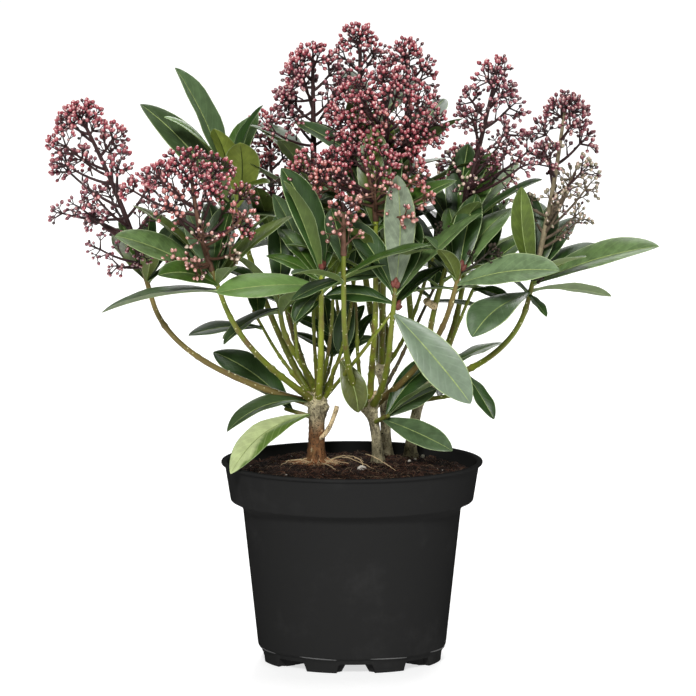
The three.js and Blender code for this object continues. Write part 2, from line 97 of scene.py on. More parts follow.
# Every named leaf is (tone, bearing, pitch, length, face) and can add its arch.
SHOOTS = {
    "far_left": Shoot("left", (188, 16), (-144, -5, 262), (180, 74),
        [("olive", 118, 34, 60, 10), ("deep", 80, 24, 64, 0), ("olive", 276, 40, 40, 0),
         ("deep", 40, 44, 60, 20)], panicle=Panicle((-201, -8, 408), 42, 16, 0.85)),
    "left_front": Shoot("left", (228, 36), (-92, -52, 268), (190, 70),
        [("fresh", 190, 26, 82, 30), ("olive", 176, 42, 80, 8), ("moss", 228, 14, 60, 20),
         ("grey", 186, -10, 86, 4), ("olive", 30, 34, 80, 0), ("deep", -74, 22, 44, 0)],
        fill=2, panicle=Panicle((-116, -60, 382), 50, 16, 0.45)),
    "left_back": Shoot("left", (146, 46), (-75, 35, 292), (160, 72),
        [("grey", 192, 66, 98, 40), ("dull", 176, 43, 98, 45), ("bright", 206, 36, 78, 8),
         ("round", -86, 60, 62, 0), ("moss", 60, 52, 66, 0), ("deep", 0, 68, 66, 20),
         ("deep", 100, 30, 66, 0), ("olive", -50, 16, 46, 20)], fill=2, leafy=56),
    "left_low": Shoot("left", (236, 80), (-51, -12, 250), (220, 80),
        [("dull", 206, -14, 60, 6), ("grey", 150, -26, 54, 0), ("deep", -20, 40, 48, 10)], fill=4),
    "front_left": Shoot("left", (276, 44), (-22, -44, 268), (270, 82),
        [("bright", 207, 0, 84, 34), ("deep", 226, 62, 82, 20), ("young", -14, 40, 34, 10),
         ("deep", 244, -22, 46, 0)], fill=2),
    "top_left": Shoot("left", (50, 62), (-28, 35, 292), (90, 86),
        [("deep", 206, 34, 62, 10), ("deep", 128, 26, 70, 0)],
        fill=10, leafy=70, panicle=Panicle((-29, 38, 448), 32, 12, 0.3)),
    "back_left": Shoot("left", (100, 20), (-54, 88, 278), (110, 72),
        [("deep", 96, 12, 78, 0), ("deep", 150, 20, 80, 0)],
        fill=8, panicle=Panicle((-60, 96, 370), 36, 10, 0.2)),
    "centre_low": Shoot("centre", (226, 30), (-6, -68, 280), (270, 82),
        [("deep", 104, 44, 52, 20)], fill=4, panicle=Panicle((-6, -72, 348), 16, 5, 0.3)),
    "centre_front": Shoot("centre", (276, 84), (17, -25, 270), (270, 84),
        [("moss", 10, 32, 70, 20), ("olive", 160, 20, 62, 0)],
        fill=7, leafy=54, panicle=Panicle((3, -36, 380), 54, 16, 0.1)),
    "centre_right": Shoot("centre", (298, 28), (29, -38, 254), (300, 80),
        [("deep", 186, 50, 48, 10), ("pale", -84, 80, 90, 0), ("fresh", 14, 42, 88, 6),
         ("deep", 180, 6, 50, 40), ("glaucous", -14, -48, 86, 66)], fill=2),
    "right_mid": Shoot("centre", (4, 34), (72, -28, 266), (330, 74),
        [("pale", -24, 10, 82, 48), ("fresh", 48, 38, 76, 12), ("olive", -112, 36, 44, 0),
         ("dull", 160, -8, 36, 0), ("deep", 64, -10, 56, 0)], fill=2),
    "centre_top": Shoot("back", (268, 60), (23, 11, 292), (280, 84),
        [("deep", 160, 28, 80, 30)], fill=9, leafy=70, panicle=Panicle((22, 0, 434), 47, 15, 0.15)),
    "top_centre": Shoot("back", (110, 60), (6, 63, 320), (90, 86),
        [("deep", 100, 34, 68, 0)], fill=10, leafy=70, panicle=Panicle((6, 64, 459), 24, 9, 0.1)),
    "back_centre": Shoot("back", (60, 20), (18, 112, 282), (80, 74),
        [("deep", 84, 12, 80, 0), ("deep", 40, 20, 78, 0)],
        fill=8, panicle=Panicle((20, 118, 384), 42, 12, 0.2)),
    "top_right": Shoot("right", (160, 62), (40, 41, 306), (90, 86),
        [("deep", 60, 30, 66, 0)], fill=10, leafy=70, panicle=Panicle((42, 44, 450), 27, 9, 0.1)),
    "right_top": Shoot("right", (270, 44), (62, 13, 263), (350, 74),
        [("fresh", 42, 38, 82, 10), ("deep", -28, 34, 86, 20)],
        fill=7, leafy=52, panicle=Panicle((107, 8, 440), 34, 14, 0.25)),
    "far_right": Shoot("right", (345, 14), (127, -8, 262), (10, 76),
        [("fresh", -12, 18, 98, 26), ("slate", 232, -20, 74, 10), ("grey", 24, -8, 66, 4),
         ("deep", -96, -30, 38, 0), ("young", -112, 70, 74, 0, -20), ("deep", 84, 46, 70, 0),
         ("deep", 48, 42, 62, 10), ("deep", 30, 24, 62, 10)],
        fill=2, panicle=Panicle((155, -4, 416), 33, 13, 0.35)),
    "back_right": Shoot("right", (60, 24), (82, 96, 264), (60, 74),
        [("deep", 50, 10, 80, 0), ("deep", 10, 16, 76, 0)],
        fill=8, panicle=Panicle((84, 104, 366), 38, 11, 0.2)),
}
# Short leafy sprigs low on the trunks.
SPRIGS = {
    "low_left": Shoot("left", (172, 16),
        leaves=[("dull", 224, -8, 74, 0), ("fading", 238, -20, 94, 14), ("deep", 150, 30, 78, 30)],
        height=0.76),
    "low_centre": Shoot("centre", (300, 20),
        leaves=[("grey", -36, -16, 72, 44), ("deep", -8, 34, 50, 0)], height=0.72),
    "low_right": Shoot("right", (350, 10),
        leaves=[("deep", -40, -20, 60, 30), ("moss", 24, 12, 60, 0), ("deep", 80, 10, 60, 0)],
        height=0.76),
}
WHORLS = {**SPRIGS, **SHOOTS}

# Shoots that are too fine for the solids. They grow between the limbs, within the same reach.
FINE_SHOOTS = {
    "crossing": Shoot("left", (-34, 44), (28, -38, 258), (24, 50), leafy=5),
    "left_upright": Shoot("left", (100, 80), (-28, 6, 256), (90, 84),
        [("deep", 96, 66, 58, 0), ("dull", 20, 44, 50, 20), ("deep", 250, 48, 40, 10),
         ("grey", 150, 62, 72, 20)]),
    "left_inner": Shoot("left", (300, 66), (-14, -12, 262), (280, 80),
        [("young", 30, 60, 30, 50), ("young", 100, 70, 26, 40), ("moss", 0, 20, 46, 40)]),
    "left_outer": Shoot("left", (176, 52), (-60, 16, 232), (170, 60),
        [("deep", 196, -4, 56, 20), ("deep", 100, 40, 44, 0)]),
    "left_red": Shoot("left", (230, 76), (-40, -10, 230), (240, 82),
        [("young", 200, 60, 22, 40), ("young", 330, 56, 20, 40), ("moss", 20, 40, 26, 20),
         ("deep", 20, 76, 40, 40)]),
    "centre_inner": Shoot("centre", (196, 62), (2, 10, 262), (120, 76),
        [("deep", 110, 60, 60, 0), ("dull", 170, 30, 52, 20), ("deep", 60, 40, 50, 0),
         ("deep", 190, -78, 46, 60)]),
    "dark_middle": Shoot("centre", (160, 60), (-2, 22, 216), (100, 70),
        [("deep", 20, 58, 36, 30), ("dull", 150, 66, 30, 40)], leafy=4),
    "dark_right": Shoot("centre", (20, 50), (44, 34, 234), (10, 64),
        [("deep", 0, -6, 42, 10), ("deep", 60, 60, 50, 20), ("dull", 170, 20, 36, 20)], leafy=40),
    "dark_inner": Shoot("left", (60, 60), (-15, 30, 216), (60, 70),
        [("deep", 30, 52, 44, 20), ("deep", 110, 66, 46, 10), ("dull", -20, 24, 36, 40),
         ("deep", 190, 30, 34, 30)], leafy=4),
    "cross_left": Shoot("left", (10, 60), (0, 5, 262), (60, 76)),
    "cross_back": Shoot("centre", (175, 58), (-12, 30, 268), (110, 76),
        [("deep", 200, 10, 46, 20), ("dull", 100, 50, 50, 0)]),
    "dark_left": Shoot("left", (130, 70), (-44, 30, 240), (130, 76),
        [("deep", 330, -20, 36, 30), ("dull", 190, 20, 40, 20), ("deep", 40, 50, 44, 20)]),
    "right_dark": Shoot("back", (330, 44), (54, 24, 276), (20, 70),
        [("deep", 60, 50, 60, 10), ("dull", 0, 30, 58, 20), ("deep", 130, 40, 50, 0)]),
    "olive_spur": Shoot("left", (-34, 40), (-9, -6, 219), (0, 40),
        [("fallen", -24, -70, 40, 64)], leafy=4),
    "right_inner": Shoot("right", (300, 30), (84, 2, 262), (10, 66),
        [("deep", 70, 56, 62, 0), ("moss", 30, 34, 52, 20), ("deep", -40, -10, 34, 30)]),
}
LIMBS = {**SHOOTS, **FINE_SHOOTS}
BUDDED = ("crossing", "left_red")  # the fine shoots that end in resting buds

# Leaves beside those of the rule, in the same whorls.
MORE_LEAVES = {
    "front_left": [
        ("deep", 186, 70, 84, 62), ("grey", 6, 8, 44, 30), ("moss", 172, 24, 44, 30),
        ("deep", 60, 50, 50, 0),
    ],
    "left_low": [("deep", 95, 80, 58, 0), ("deep", 200, 30, 50, 30), ("dull", 330, 20, 44, 20)],
    "left_front": [
        ("deep", 100, 60, 60, 0), ("grey", 80, 40, 60, 20), ("deep", 350, 50, 60, 10),
        ("grey", 130, 56, 56, 20), ("dull", 60, 74, 54, 30), ("slate", 150, 44, 50, 30),
        ("deep", 20, 76, 60, 10),
    ],
    "left_back": [("round", -120, 66, 50, 0), ("dull", 250, 40, 50, 20)],
    "centre_low": [("deep", 200, -20, 42, 30)],
    "low_centre": [("deep", 12, 44, 62, 44), ("dull", 24, 24, 46, 50)],
    "centre_front": [("olive", 95, 80, 74, 0), ("deep", 60, 60, 64, 10), ("dull", 130, 56, 64, 0)],
    "centre_right": [("deep", 178, 58, 64, 62), ("deep", 60, 56, 60, 10)],
    "right_mid": [("deep", 66, 60, 66, 10), ("moss", 100, 50, 60, 0), ("grey", 200, 50, 40, 30)],
    "right_top": [("deep", 70, 66, 72, 10), ("moss", 30, 60, 70, 30), ("dull", 150, 50, 60, 10)],
    "far_right": [("deep", 100, 74, 64, 0), ("dull", 60, 60, 60, 10)],
    "far_left": [
        ("deep", 80, 66, 50, 0), ("moss", 150, 60, 46, 20), ("grey", 20, 55, 54, 20),
        ("deep", 350, 30, 44, 20),
    ],
    "centre_top": [("young", 80, 66, 38, 0), ("olive", 104, 56, 46, 10)],
}
OPEN = ("centre_low",)  # whorls that stay as open as their solids
SMALLER = Sizes(size=0.82, pitch=10)  # how short and steep a leaf grows where the solids had no room for it
# What a named leaf takes on beyond its solid.
SHAPED = {
    ("low_left", 0): dict(
        root=(-31, 14.5, 186.5), bearing=198.6, pitch=-17, length=70, face=20, arch=70),
    ("low_left", 1): dict(
        root=(-31, 13, 177), bearing=232, pitch=-19.5, length=98, face=26, arch=30, broad=0.62),
    ("left_front", 2): dict(pitch=12, length=64, face=52, arch=44),
    ("left_back", 1): dict(root=(-87, 38, 318), pitch=51, length=108, broad=0.9),
    ("left_back", 2): dict(bearing=212, pitch=46, length=82, face=22, arch=52, broad=0.85),
    ("left_back", 3): dict(root=(-83, 36, 327), length=58),
    ("left_low", 0): dict(pitch=-28, length=52, arch=50),
    ("low_centre", 0): dict(length=66),
    ("low_right", 0): dict(root=(84, 38, 203), bearing=-40, pitch=-50, length=40, face=20),
    ("low_right", 1): dict(root=(60, 49, 200), pitch=22),
    ("centre_right", 1): dict(broad=0.82),
    ("centre_top", 0): dict(broad=0.6),
    ("far_right", 0): dict(face=33, broad=0.93),
    ("far_right", 2): dict(pitch=-7, face=-30, arch=30, broad=0.6),
    ("far_right", 3): dict(length=27, bearing=-60),
    ("far_right", 4): dict(broad=0.8),
}

# ---------------------------------------------------------------- colours that have a place

LEAF_COLOURS = {  # upper side, underside
    "deep": ((0.020, 0.048, 0.009), (0.075, 0.112, 0.026)),
    "dull": ((0.032, 0.056, 0.018), (0.085, 0.117, 0.034)),
    "grey": ((0.066, 0.108, 0.046), (0.120, 0.160, 0.070)),
    "slate": ((0.062, 0.104, 0.046), (0.120, 0.160, 0.070)),
    # the next tone is partly the blade's own grey-green and partly a painted sheen, the gloss's reflection
    # of white surroundings
    "glaucous": ((0.118, 0.160, 0.105), (0.190, 0.225, 0.150)),
    "moss": ((0.036, 0.078, 0.010), (0.090, 0.130, 0.022)),
    "olive": ((0.055, 0.082, 0.010), (0.080, 0.106, 0.014)),
    "bright": ((0.098, 0.172, 0.046), (0.120, 0.165, 0.038)),
    "fresh": ((0.088, 0.146, 0.046), (0.110, 0.155, 0.036)),
    "pale": ((0.115, 0.175, 0.080), (0.200, 0.245, 0.165)),
    "young": ((0.125, 0.185, 0.018), (0.080, 0.120, 0.016)),
    "round": ((0.210, 0.248, 0.045), (0.165, 0.205, 0.034)),
    "fallen": ((0.060, 0.072, 0.008), (0.060, 0.072, 0.008)),
    "fading": ((0.360, 0.420, 0.200), (0.420, 0.460, 0.230)),
}
# How broad the leaves of a tone are, as a share of the rule's own width.
BROAD = {
    "round": 1.5, "fallen": 1.3, "fading": 0.8, "slate": 1.35,
}
PATCH_COLOUR = (0.10, 0.17, 0.03)  # the green that a fading leaf keeps
LEAF_EDGES = {
    "leaf_rib": ((0.270, 0.340, 0.120), 0.45), "leaf_rib_dark": ((0.030, 0.050, 0.008), 0.45),
    "leaf_margin": ((0.300, 0.380, 0.180), 0.45),
}

# Sprays that the solids have no heads for: share of the way along the axis, end, size and level.
MORE_HEADS = {
    "far_left": [
        (0.04, (-192, -14, 305), 0.8, 0), (0.02, (-176, -24, 291), 0.7, 0),
        (0.08, (-150, -34, 300), 0.7, 0), (0.3, (-219, -8, 328), 0.7, 0.2),
        (0.5, (-217, -4, 366), 0.9, 0.5), (0.55, (-204, -10, 372), 0.8, 0.5),
        (0.8, (-214, -8, 396), 1.0, 0.95), (0.84, (-204, -18, 405), 0.9, 0.95),
        (0.84, (-190, -14, 407), 1.0, 0.95), (0.8, (-180, -8, 397), 0.9, 0.95),
        (0.2, (-206, -12, 337), 0.8, 0.2), (0.14, (-193, -16, 329), 0.8, 0.2),
    ],
    "left_front": [
        (0.06, (-134, -74, 300), 0.7, 0.2), (0.05, (-114, -86, 297), 0.6, 0.2),
        (0.1, (-80, -74, 306), 0.7, 0), (0.45, (-164, -58, 352), 0.6, 0.7),
        (0.3, (-70, -66, 326), 0.8, 0.6), (0.6, (-128, -66, 372), 0.9, 0.8),
        (0.6, (-110, -70, 364), 0.9, 0.7), (0.5, (-140, -62, 364), 0.8, 0.7),
        (0.5, (-96, -70, 356), 0.8, 0.6),
    ],
    "centre_top": [
        (0.1, (-16, -14, 392), 0.9, 0.6), (0.14, (-4, -22, 399), 0.9, 0.6),
        (0.1, (7, -22, 388), 0.8, 0.5), (0.2, (-18, -8, 404), 0.7, 0.5), (0.12, (50, -14, 390), 0.9, 0.6),
        (0.1, (63, -10, 384), 0.8, 0.5), (0.2, (68, -6, 397), 0.7, 0.5), (0.3, (8, -24, 411), 0.9, 0.8),
        (0.06, (15, -28, 384), 0.7, 0.5), (0.08, (46, -22, 380), 0.8, 0.5),
        (0.06, (-10, -26, 381), 0.7, 0.4),
    ],
    "top_left": [
        (0.1, (-64, 16, 386), 0.8, 0.1), (0.6, (-52, 36, 418), 1.0, 0.8), (0.5, (-57, 34, 404), 0.9, 0.6),
        (0.4, (-48, 30, 388), 0.8, 0.4), (0.65, (-44, 32, 436), 1.0, 0.9),
    ],
    "back_left": [(0.9, (-64, 86, 392), 0.9, 1), (0.85, (-73, 84, 380), 0.8, 0.9)],
    "centre_front": [
        (0.35, (-48, -44, 366), 0.9, 0.5), (0.35, (-38, -52, 374), 0.8, 0.6),
        (0.3, (-28, -60, 362), 0.8, 0.4), (0.1, (44, -56, 330), 0.6, 0.3),
        (0.12, (58, -50, 345), 0.6, 0.3),
    ],
    "far_right": [
        (0.12, (168, -16, 326), 0.6, 0), (0.3, (118, -20, 340), 0.6, 0.3),
        (0.84, (143, -8, 406), 0.9, 0.95), (0.84, (168, -6, 407), 0.9, 0.95),
        (0.25, (163, -14, 362), 0.8, 0.2), (0.22, (176, -12, 353), 0.8, 0.1),
        (0.2, (158, -18, 348), 0.7, 0.1),
    ],
    "right_top": [
        (0.1, (82, -20, 356), 0.7, 0), (0.25, (136, -14, 378), 0.9, 0.5),
        (0.22, (118, -20, 380), 0.9, 0.5), (0.2, (128, -24, 366), 0.7, 0.3),
    ],
}

# Dark sprays that dried on the whorls: start, end and size.
DRIED = (
    ((78, -31, 287), (105, -36, 307), 0.7), ((130, -8, 279), (141, -26, 285), 0.6),
    ((-30, 34, 338), (-57, 12, 347), 0.7), ((70, 8, 300), (64, -22, 318), 0.6),
)

# Tones of bud from a panicle's lowest heads to its highest.
BUD_TONES = {
    "dried": ("dried",), "far_left": ("plum", "plum", "rose", "rose"),
    "left_front": ("cream", "blush", "salmon", "salmon", "rose", "rose", "rose"),
    "top_left": ("plum", "plum", "plum", "rose"), "back_left": ("plum", "rose", "rose"),
    "centre_low": ("blush", "salmon"), "centre_front": ("blush", "salmon", "rose", "rose"),
    "centre_top": ("salmon", "rose", "rose", "rose"), "top_centre": ("wine", "rose"),
    "back_centre": ("plum", "rose"), "top_right": ("wine", "rose"),
    "right_top": ("cream", "plum", "plum", "plum", "wine", "wine", "plum", "plum", "plum", "rose"),
    "far_right": ("sage", "sage", "sage", "wine", "wine", "wine"), "back_right": ("plum", "rose"),
}
BUD_COLOURS = {
    "plum": (0.215, 0.046, 0.068), "wine": (0.165, 0.028, 0.042), "rose": (0.330, 0.054, 0.072),
    "salmon": (0.440, 0.135, 0.115), "blush": (0.540, 0.260, 0.205), "cream": (0.540, 0.430, 0.310),
    "sage": (0.245, 0.212, 0.130), "dark": (0.075, 0.018, 0.024),
}
DARK_BUDS = 0.18  # the share of buds that stay small and dark
# Most stalks are a purple-brown darkened further by painted shade, but for these: the axis's finish, the
# branches' finish, and the level it reaches.
STALKS = {
    "far_right": ("straw", "hazel", 0.6), "centre_low": ("tan", "tan", 1), "dried": ("dried", "dried", 1),
    "centre_front": ("tan", "tan", 0.5), "left_front": ("tan", "tan", 0.4),
}
STALK_COLOURS = {
    # the first is the stalks' own purple-brown, darkened further as painted shade among the heads
    "dusk": (0.040, 0.017, 0.017), "hazel": (0.120, 0.088, 0.058), "dried": (0.026, 0.021, 0.013),
    "tan": (0.110, 0.055, 0.034), "straw": (0.250, 0.205, 0.125),
}
# The finish of a limb that isn't green.
STEMS = {
    "far_left": "russet", "front_left": "lime", "centre_front": "lime", "right_mid": "russet",
    "dark_middle": "dark", "dark_right": "dark", "dark_left": "russet",
}
STEM_COLOURS = {
    "green": (0.120, 0.150, 0.014), "lime": (0.210, 0.250, 0.024), "russet": (0.130, 0.100, 0.026),
    "dark": (0.040, 0.034, 0.014),
}
SOIL_FINISHES = {  # a colour, and how matt it is
    "peat_crumb": ((0.020, 0.011, 0.008), 0.95), "bark_crumb": ((0.045, 0.025, 0.015), 0.9),
    "fibre_red": ((0.090, 0.038, 0.022), 0.85), "fibre_dark": ((0.030, 0.016, 0.012), 0.9),
    "fibre_pale": ((0.170, 0.115, 0.070), 0.9), "root": ((0.300, 0.130, 0.055), 0.8),
    "root_pale": ((0.520, 0.390, 0.220), 0.8), "perlite": ((0.560, 0.520, 0.460), 0.9, 500, 0.3, 0.6),
}
BARK_FINISHES = {  # the bark's colour, if not the setting's, and its colour at the foot
    "bark_grey": (None, (0.260, 0.230, 0.140)), "bark_rooted": (None, (0.240, 0.105, 0.042)),
    "bark_cut": ((0.680, 0.520, 0.300), (0.480, 0.340, 0.180)),
}

# ---------------------------------------------------------------- small tools


def heading(bearing, pitch):
    """Unit vectors at bearings and pitches: (cos b cos p, sin b cos p, sin p)."""
    b, p = np.broadcast_arrays(np.radians(bearing), np.radians(pitch))
    return np.stack([np.cos(b) * np.cos(p), np.sin(b) * np.cos(p), np.sin(p)], -1)


def unit(vectors):
    """Vectors divided by their own lengths."""
    return vectors / np.linalg.norm(vectors, axis=-1, keepdims=True)


def circle(sides):
    """Angles set evenly round a circle, in radians."""
    return np.arange(sides) * 2 * np.pi / sides


def around(sides, rows):
    """The angle round a tube and the share along it, as two grids."""
    return np.meshgrid(circle(sides), np.linspace(0, 1, rows))


def turned(radius, angle, height):
    """Points about the pot's axis: (r cos q, r sin q, z)."""
    return np.stack(np.broadcast_arrays(radius * np.cos(angle), radius * np.sin(angle), height), -1)


def run_of(path):
    """How far along a path each of its points lies, over its chords."""
    return np.append(0, np.cumsum(np.linalg.norm(np.diff(path, axis=0), axis=1)))


def columns(rows, keys):
    """The named fields of many rows, each as one array."""
    return [np.array([getattr(row, key) for row in rows]) for key in keys.split()]


def dice(name):
    """A random generator whose seed is the sum of a name's letters, each times its place."""
    return np.random.default_rng(sum((i + 1) * ord(letter) for i, letter in enumerate(name)))


def stream(name):
    """Numbers from 0 to 1 from a 32-bit counter and mixer, with a name's letters as its seed."""
    mask = 0xFFFFFFFF
    state = 7
    for letter in name:
        state = (state * 31 + ord(letter)) & mask

    def draw():
        nonlocal state
        state = (state + 0x6D2B79F5) & mask
        t = ((state ^ (state >> 15)) * (1 | state)) & mask
        t = ((t + ((t ^ (t >> 7)) * (61 | t) & mask)) & mask) ^ t
        return (t ^ (t >> 14)) / (mask + 1)

    return draw


def bezier(points, t):
    """A Bezier curve of any degree at t: neighbouring points are mixed until one is left."""
    t = np.asarray(t, float)[..., None]
    rows = [np.asarray(point, float) for point in points]
    while len(rows) > 1:
        rows = [a + (b - a) * t for a, b in zip(rows, rows[1:])]
    return rows[0]


class Line:
    """A Bezier line that is read by shares of its length, measured over its chords."""

    CHORDS = 200

    def __init__(self, *points):
        self.points = points
        self.at = np.linspace(0, 1, self.CHORDS + 1)
        self.run = run_of(bezier(points, self.at))
        self.length = self.run[-1]

    def __call__(self, share):
        return bezier(self.points, np.interp(np.asarray(share) * self.length, self.run, self.at))


def across_of(ways, turn=0.0, upright=0.999):
    """Two unit vectors square to each way: the first lies level before it is turned about the way."""
    ways = np.asarray(ways, float)
    steep = np.abs(ways[..., 2:]) > upright
    first = unit(np.cross(np.where(steep, np.array([0.0, 1.0, 0.0]), UP), ways))
    second = np.cross(ways, first)
    cos, sin = np.cos(np.radians(turn))[..., None], np.sin(np.radians(turn))[..., None]
    return first * cos + second * sin, second * cos - first * sin


def tilted(ways, lean, turn):
    """Each way leaned over by an angle, towards the turn about it: w cos l + (a cos t + b sin t) sin l."""
    a, _ = across_of(ways, turn)
    lean = np.radians(lean)[..., None]
    return np.asarray(ways) * np.cos(lean) + a * np.sin(lean)


# ---------------------------------------------------------------- the growth rule

Leaf = namedtuple("Leaf", "root bearing pitch length face arch tone broad")
Head = namedtuple("Head", "start foot way size turn level")


def trunk_line(trunk):
    """A trunk's centre line, from its cut at the soil to the middle of its knob."""
    foot = np.array([*trunk.foot, SOIL.top + GAP])
    fork = np.array(trunk.fork, float)
    return Line(foot, [foot[0], foot[1], (foot[2] + fork[2]) / 2], fork)


def limb_line(shoot):
    """A limb leaves the middle of the knob, then bends round to the rise of its own shoot."""
    trunk = TRUNKS[shoot.trunk]
    foot, tip = np.array(trunk.fork, float), np.array(shoot.tip, float)
    out = heading(*shoot.leave) * (trunk.knob + LIMB.foot_pull)
    back = heading(*shoot.rise) * LIMB.tip_pull * np.linalg.norm(tip - foot)
    return Line(foot, foot + out, tip - back, tip)


def stem_of(shoot):
    """A whorl's stem as its foot, its direction, its bare stretch and its leafy length."""
    if shoot.height:
        trunk = TRUNKS[shoot.trunk]
        return trunk_line(trunk)(shoot.height), heading(*shoot.leave), trunk.knob, STEM.sprig
    rise = heading(*shoot.rise)
    return np.array(shoot.tip) + rise * GAP, rise, 0.0, shoot.leafy


def crowds(leaf, other):
    """Whether a leaf grows too near to another, and too much the same way."""
    near = np.linalg.norm(leaf.root - other.root) < STEM.length
    likeness = heading(leaf.bearing, leaf.pitch) @ heading(other.bearing, other.pitch)
    return near and likeness > math.cos(math.radians(LEAF.crowd))


def seated(shoot, tone, bearing, pitch, length, face, arch=LEAF.arch, along=None):
    """A leaf on its whorl's stem. A steep one sits near the tip, and a low one further down."""
    foot, rise, bare, leafy = stem_of(shoot)
    if along is None:
        share = np.clip((pitch + SEAT.base) / SEAT.spread, SEAT.lowest, SEAT.highest)
        along = leafy - (1 - share) * min(leafy, STEM.length)
    root = foot + rise * (bare + along) + heading(bearing, 0) * LEAF.root
    return Leaf(root, bearing, pitch, length, face, arch, tone, BROAD.get(tone, 1.0))


def whorl_leaves(name, shoot):
    """The named leaves, and those that the golden angle adds along the stem."""
    leafy = stem_of(shoot)[3]
    random = stream(name)
    made = [seated(shoot, *leaf) for leaf in shoot.leaves]
    first = 360 * random()
    for k in range(shoot.fill):
        share = (k + 0.5) / shoot.fill
        along = leafy * (STEM.lowest + (STEM.highest - STEM.lowest) * share)
        pitch = FILL.pitch + FILL.climb * share + FILL.spread * (random() - 0.5)
        length = FILL.length + FILL.vary * (random() - 0.5)
        tone = FILL.tones[k % len(FILL.tones)]
        leaf = seated(shoot, tone, first + k * GOLDEN, pitch, length, 0, along=along)
        if not any(crowds(leaf, other) for other in made):
            made.append(leaf)
    return made


def axis_line(shoot):
    """A panicle's axis goes on from the end of its whorl's stem."""
    foot, rise, _, leafy = stem_of(shoot)
    start, tip = foot + rise * (leafy + GAP), np.array(shoot.panicle.tip, float)
    return Line(start, start + rise * BRANCH.pull * np.linalg.norm(tip - start), tip)


def head_on(start, end, size, turn, level):
    """A head at the end of a branch, whose foot lies short of that end by its own rise."""
    way = unit(end - start)
    return Head(start, end - way * HEAD.rise * size, way, size, turn, level)


def panicle_heads(name, shoot, line):
    """Heads on a dome over the middle of the axis and on the skirt below it, by the golden angle."""
    count, skirt = shoot.panicle.heads, shoot.panicle.skirt
    random = stream(f"{name}_buds")
    middle, crown = line(0.5), line(1.0) - line(0.5)

    def drawn(start, end, level):
        return head_on(start, end, 1 - HEAD.vary * random(), 360 * random(), level)

    made = []
    for k in range(count - 1):
        level = -skirt + (1 + skirt) * (k + 0.5) / count
        bulge = math.sqrt(1 - level * level) if level > 0 else 1 + HEAD.tuck * level
        spread = shoot.panicle.reach * bulge * (1 - HEAD.vary * random())
        end = middle + crown * level + heading(k * GOLDEN, 0) * spread
        share = 0.5 + 0.5 * level - spread * math.tan(math.radians(HEAD.climb)) / line.length
        start = line(np.clip(share, BRANCH.first + BRANCH.apart * k, BRANCH.last))
        made.append(drawn(start, end, (k + 0.5) / count))
    return [*made, drawn(line(BRANCH.crown), line(1.0), 1.0)]


def half_width(length, u):
    """Half a leaf's width: u^a (1 - u)^b over its greatest value, and a petiole that fades to the tip."""
    a, b = BLADE.base, BLADE.tip
    widest = a / (a + b)
    shape = u**a * (1 - u) ** b / (widest**a * (1 - widest) ** b)
    return LEAF.width / 2 * length * shape + LEAF.petiole * (1 - u)


def midribs(leaves, u):
    """Points and directions along leaves' midribs, whose pitch falls by the arch from root to tip."""
    root, bearing, pitch, length, arch = columns(leaves, "root bearing pitch length arch")
    start, fall = np.radians(pitch + arch / 2)[:, None], -np.radians(arch)[:, None]
    end = start + fall * u
    flat = heading(bearing, 0)[:, None]
    out = length[:, None] * (np.sin(end) - np.sin(start)) / fall
    rise = length[:, None] * (np.cos(start) - np.cos(end)) / fall
    points = root[:, None] + flat * out[..., None] + UP * rise[..., None]
    return points, flat * np.cos(end)[..., None] + UP * np.sin(end)[..., None]


def blade_sides(leaves, along, twist=0.0):
    """The way across each blade: level, then rolled about the midrib to turn its face to the front."""
    bearing, face = columns(leaves, "bearing face")
    roll = np.radians(face * np.where(np.cos(np.radians(bearing)) < 0, -1, 1))[:, None] + twist
    level = np.cross(UP, heading(bearing, 0))[:, None]
    return level * np.cos(roll)[..., None] + np.cross(along, level) * np.sin(roll)[..., None]


def grown(corners, node):
    """Whether each candidate has any of its own corners (n, c, 3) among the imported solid's."""
    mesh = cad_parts[node].data
    there = np.empty(len(mesh.vertices) * 3, np.float32)
    mesh.vertices.foreach_get("co", there)
    gaps = np.linalg.norm(corners[:, :, None] - there.reshape(-1, 3) / MM, axis=-1)
    return gaps.min(axis=(1, 2)) < TOUCH


def all_leaves(name, shoot):
    """A whorl's leaves: those of its solid, told by their tips and by the two edges at one ring, the
    others that the rule tried, and those that are too many for the solids."""
    leaves = whorl_leaves(name, shoot)
    points, along = midribs(leaves, np.array([LEAF.cut, 1.0]))
    side = blade_sides(leaves, along)[:, :1]
    width = half_width(columns(leaves, "length")[0], LEAF.cut)[:, None, None]
    lift = np.cross(along[:, :1], side) * width * math.tan(math.radians(LEAF.fold))
    edges = points[:, :1] + lift + side * width * np.array([1, -1])[:, None]
    there = grown(np.concatenate([points[:, 1:], edges], axis=1), f"leaves_{name}")
    leaves = [leaf._replace(**SHAPED.get((name, i), {})) for i, leaf in enumerate(leaves)]
    solid = [leaf for leaf, kept in zip(leaves, there) if kept]
    others = [leaf._replace(length=leaf.length * SMALLER.size, pitch=leaf.pitch + SMALLER.pitch)
              for leaf, kept in zip(leaves, there) if not kept and name not in OPEN]
    return solid + others + [seated(shoot, *leaf) for leaf in MORE_LEAVES.get(name, ())]


def grown_heads(name, shoot, line):
    """A panicle's heads that its solid has, told by the four corners of their brims, and more beside."""
    heads = panicle_heads(name, shoot, line)
    foot, way, size, turn = columns(heads, "foot way size turn")
    size = size[:, None, None]
    first, second = across_of(way, turn)
    corners = np.stack([first, -first, second, -second], axis=1) * HEAD.radius * size
    brims = foot[:, None] + way[:, None] * HEAD.rise * HEAD.brim * size
    made = [head for head, kept in zip(heads, grown(brims + corners, f"buds_{name}")) if kept]
    return made + [head_on(line(share), np.array(end, float), size, 0.0, level)
                   for share, end, size, level in MORE_HEADS.get(name, ())]


# ---------------------------------------------------------------- surfaces


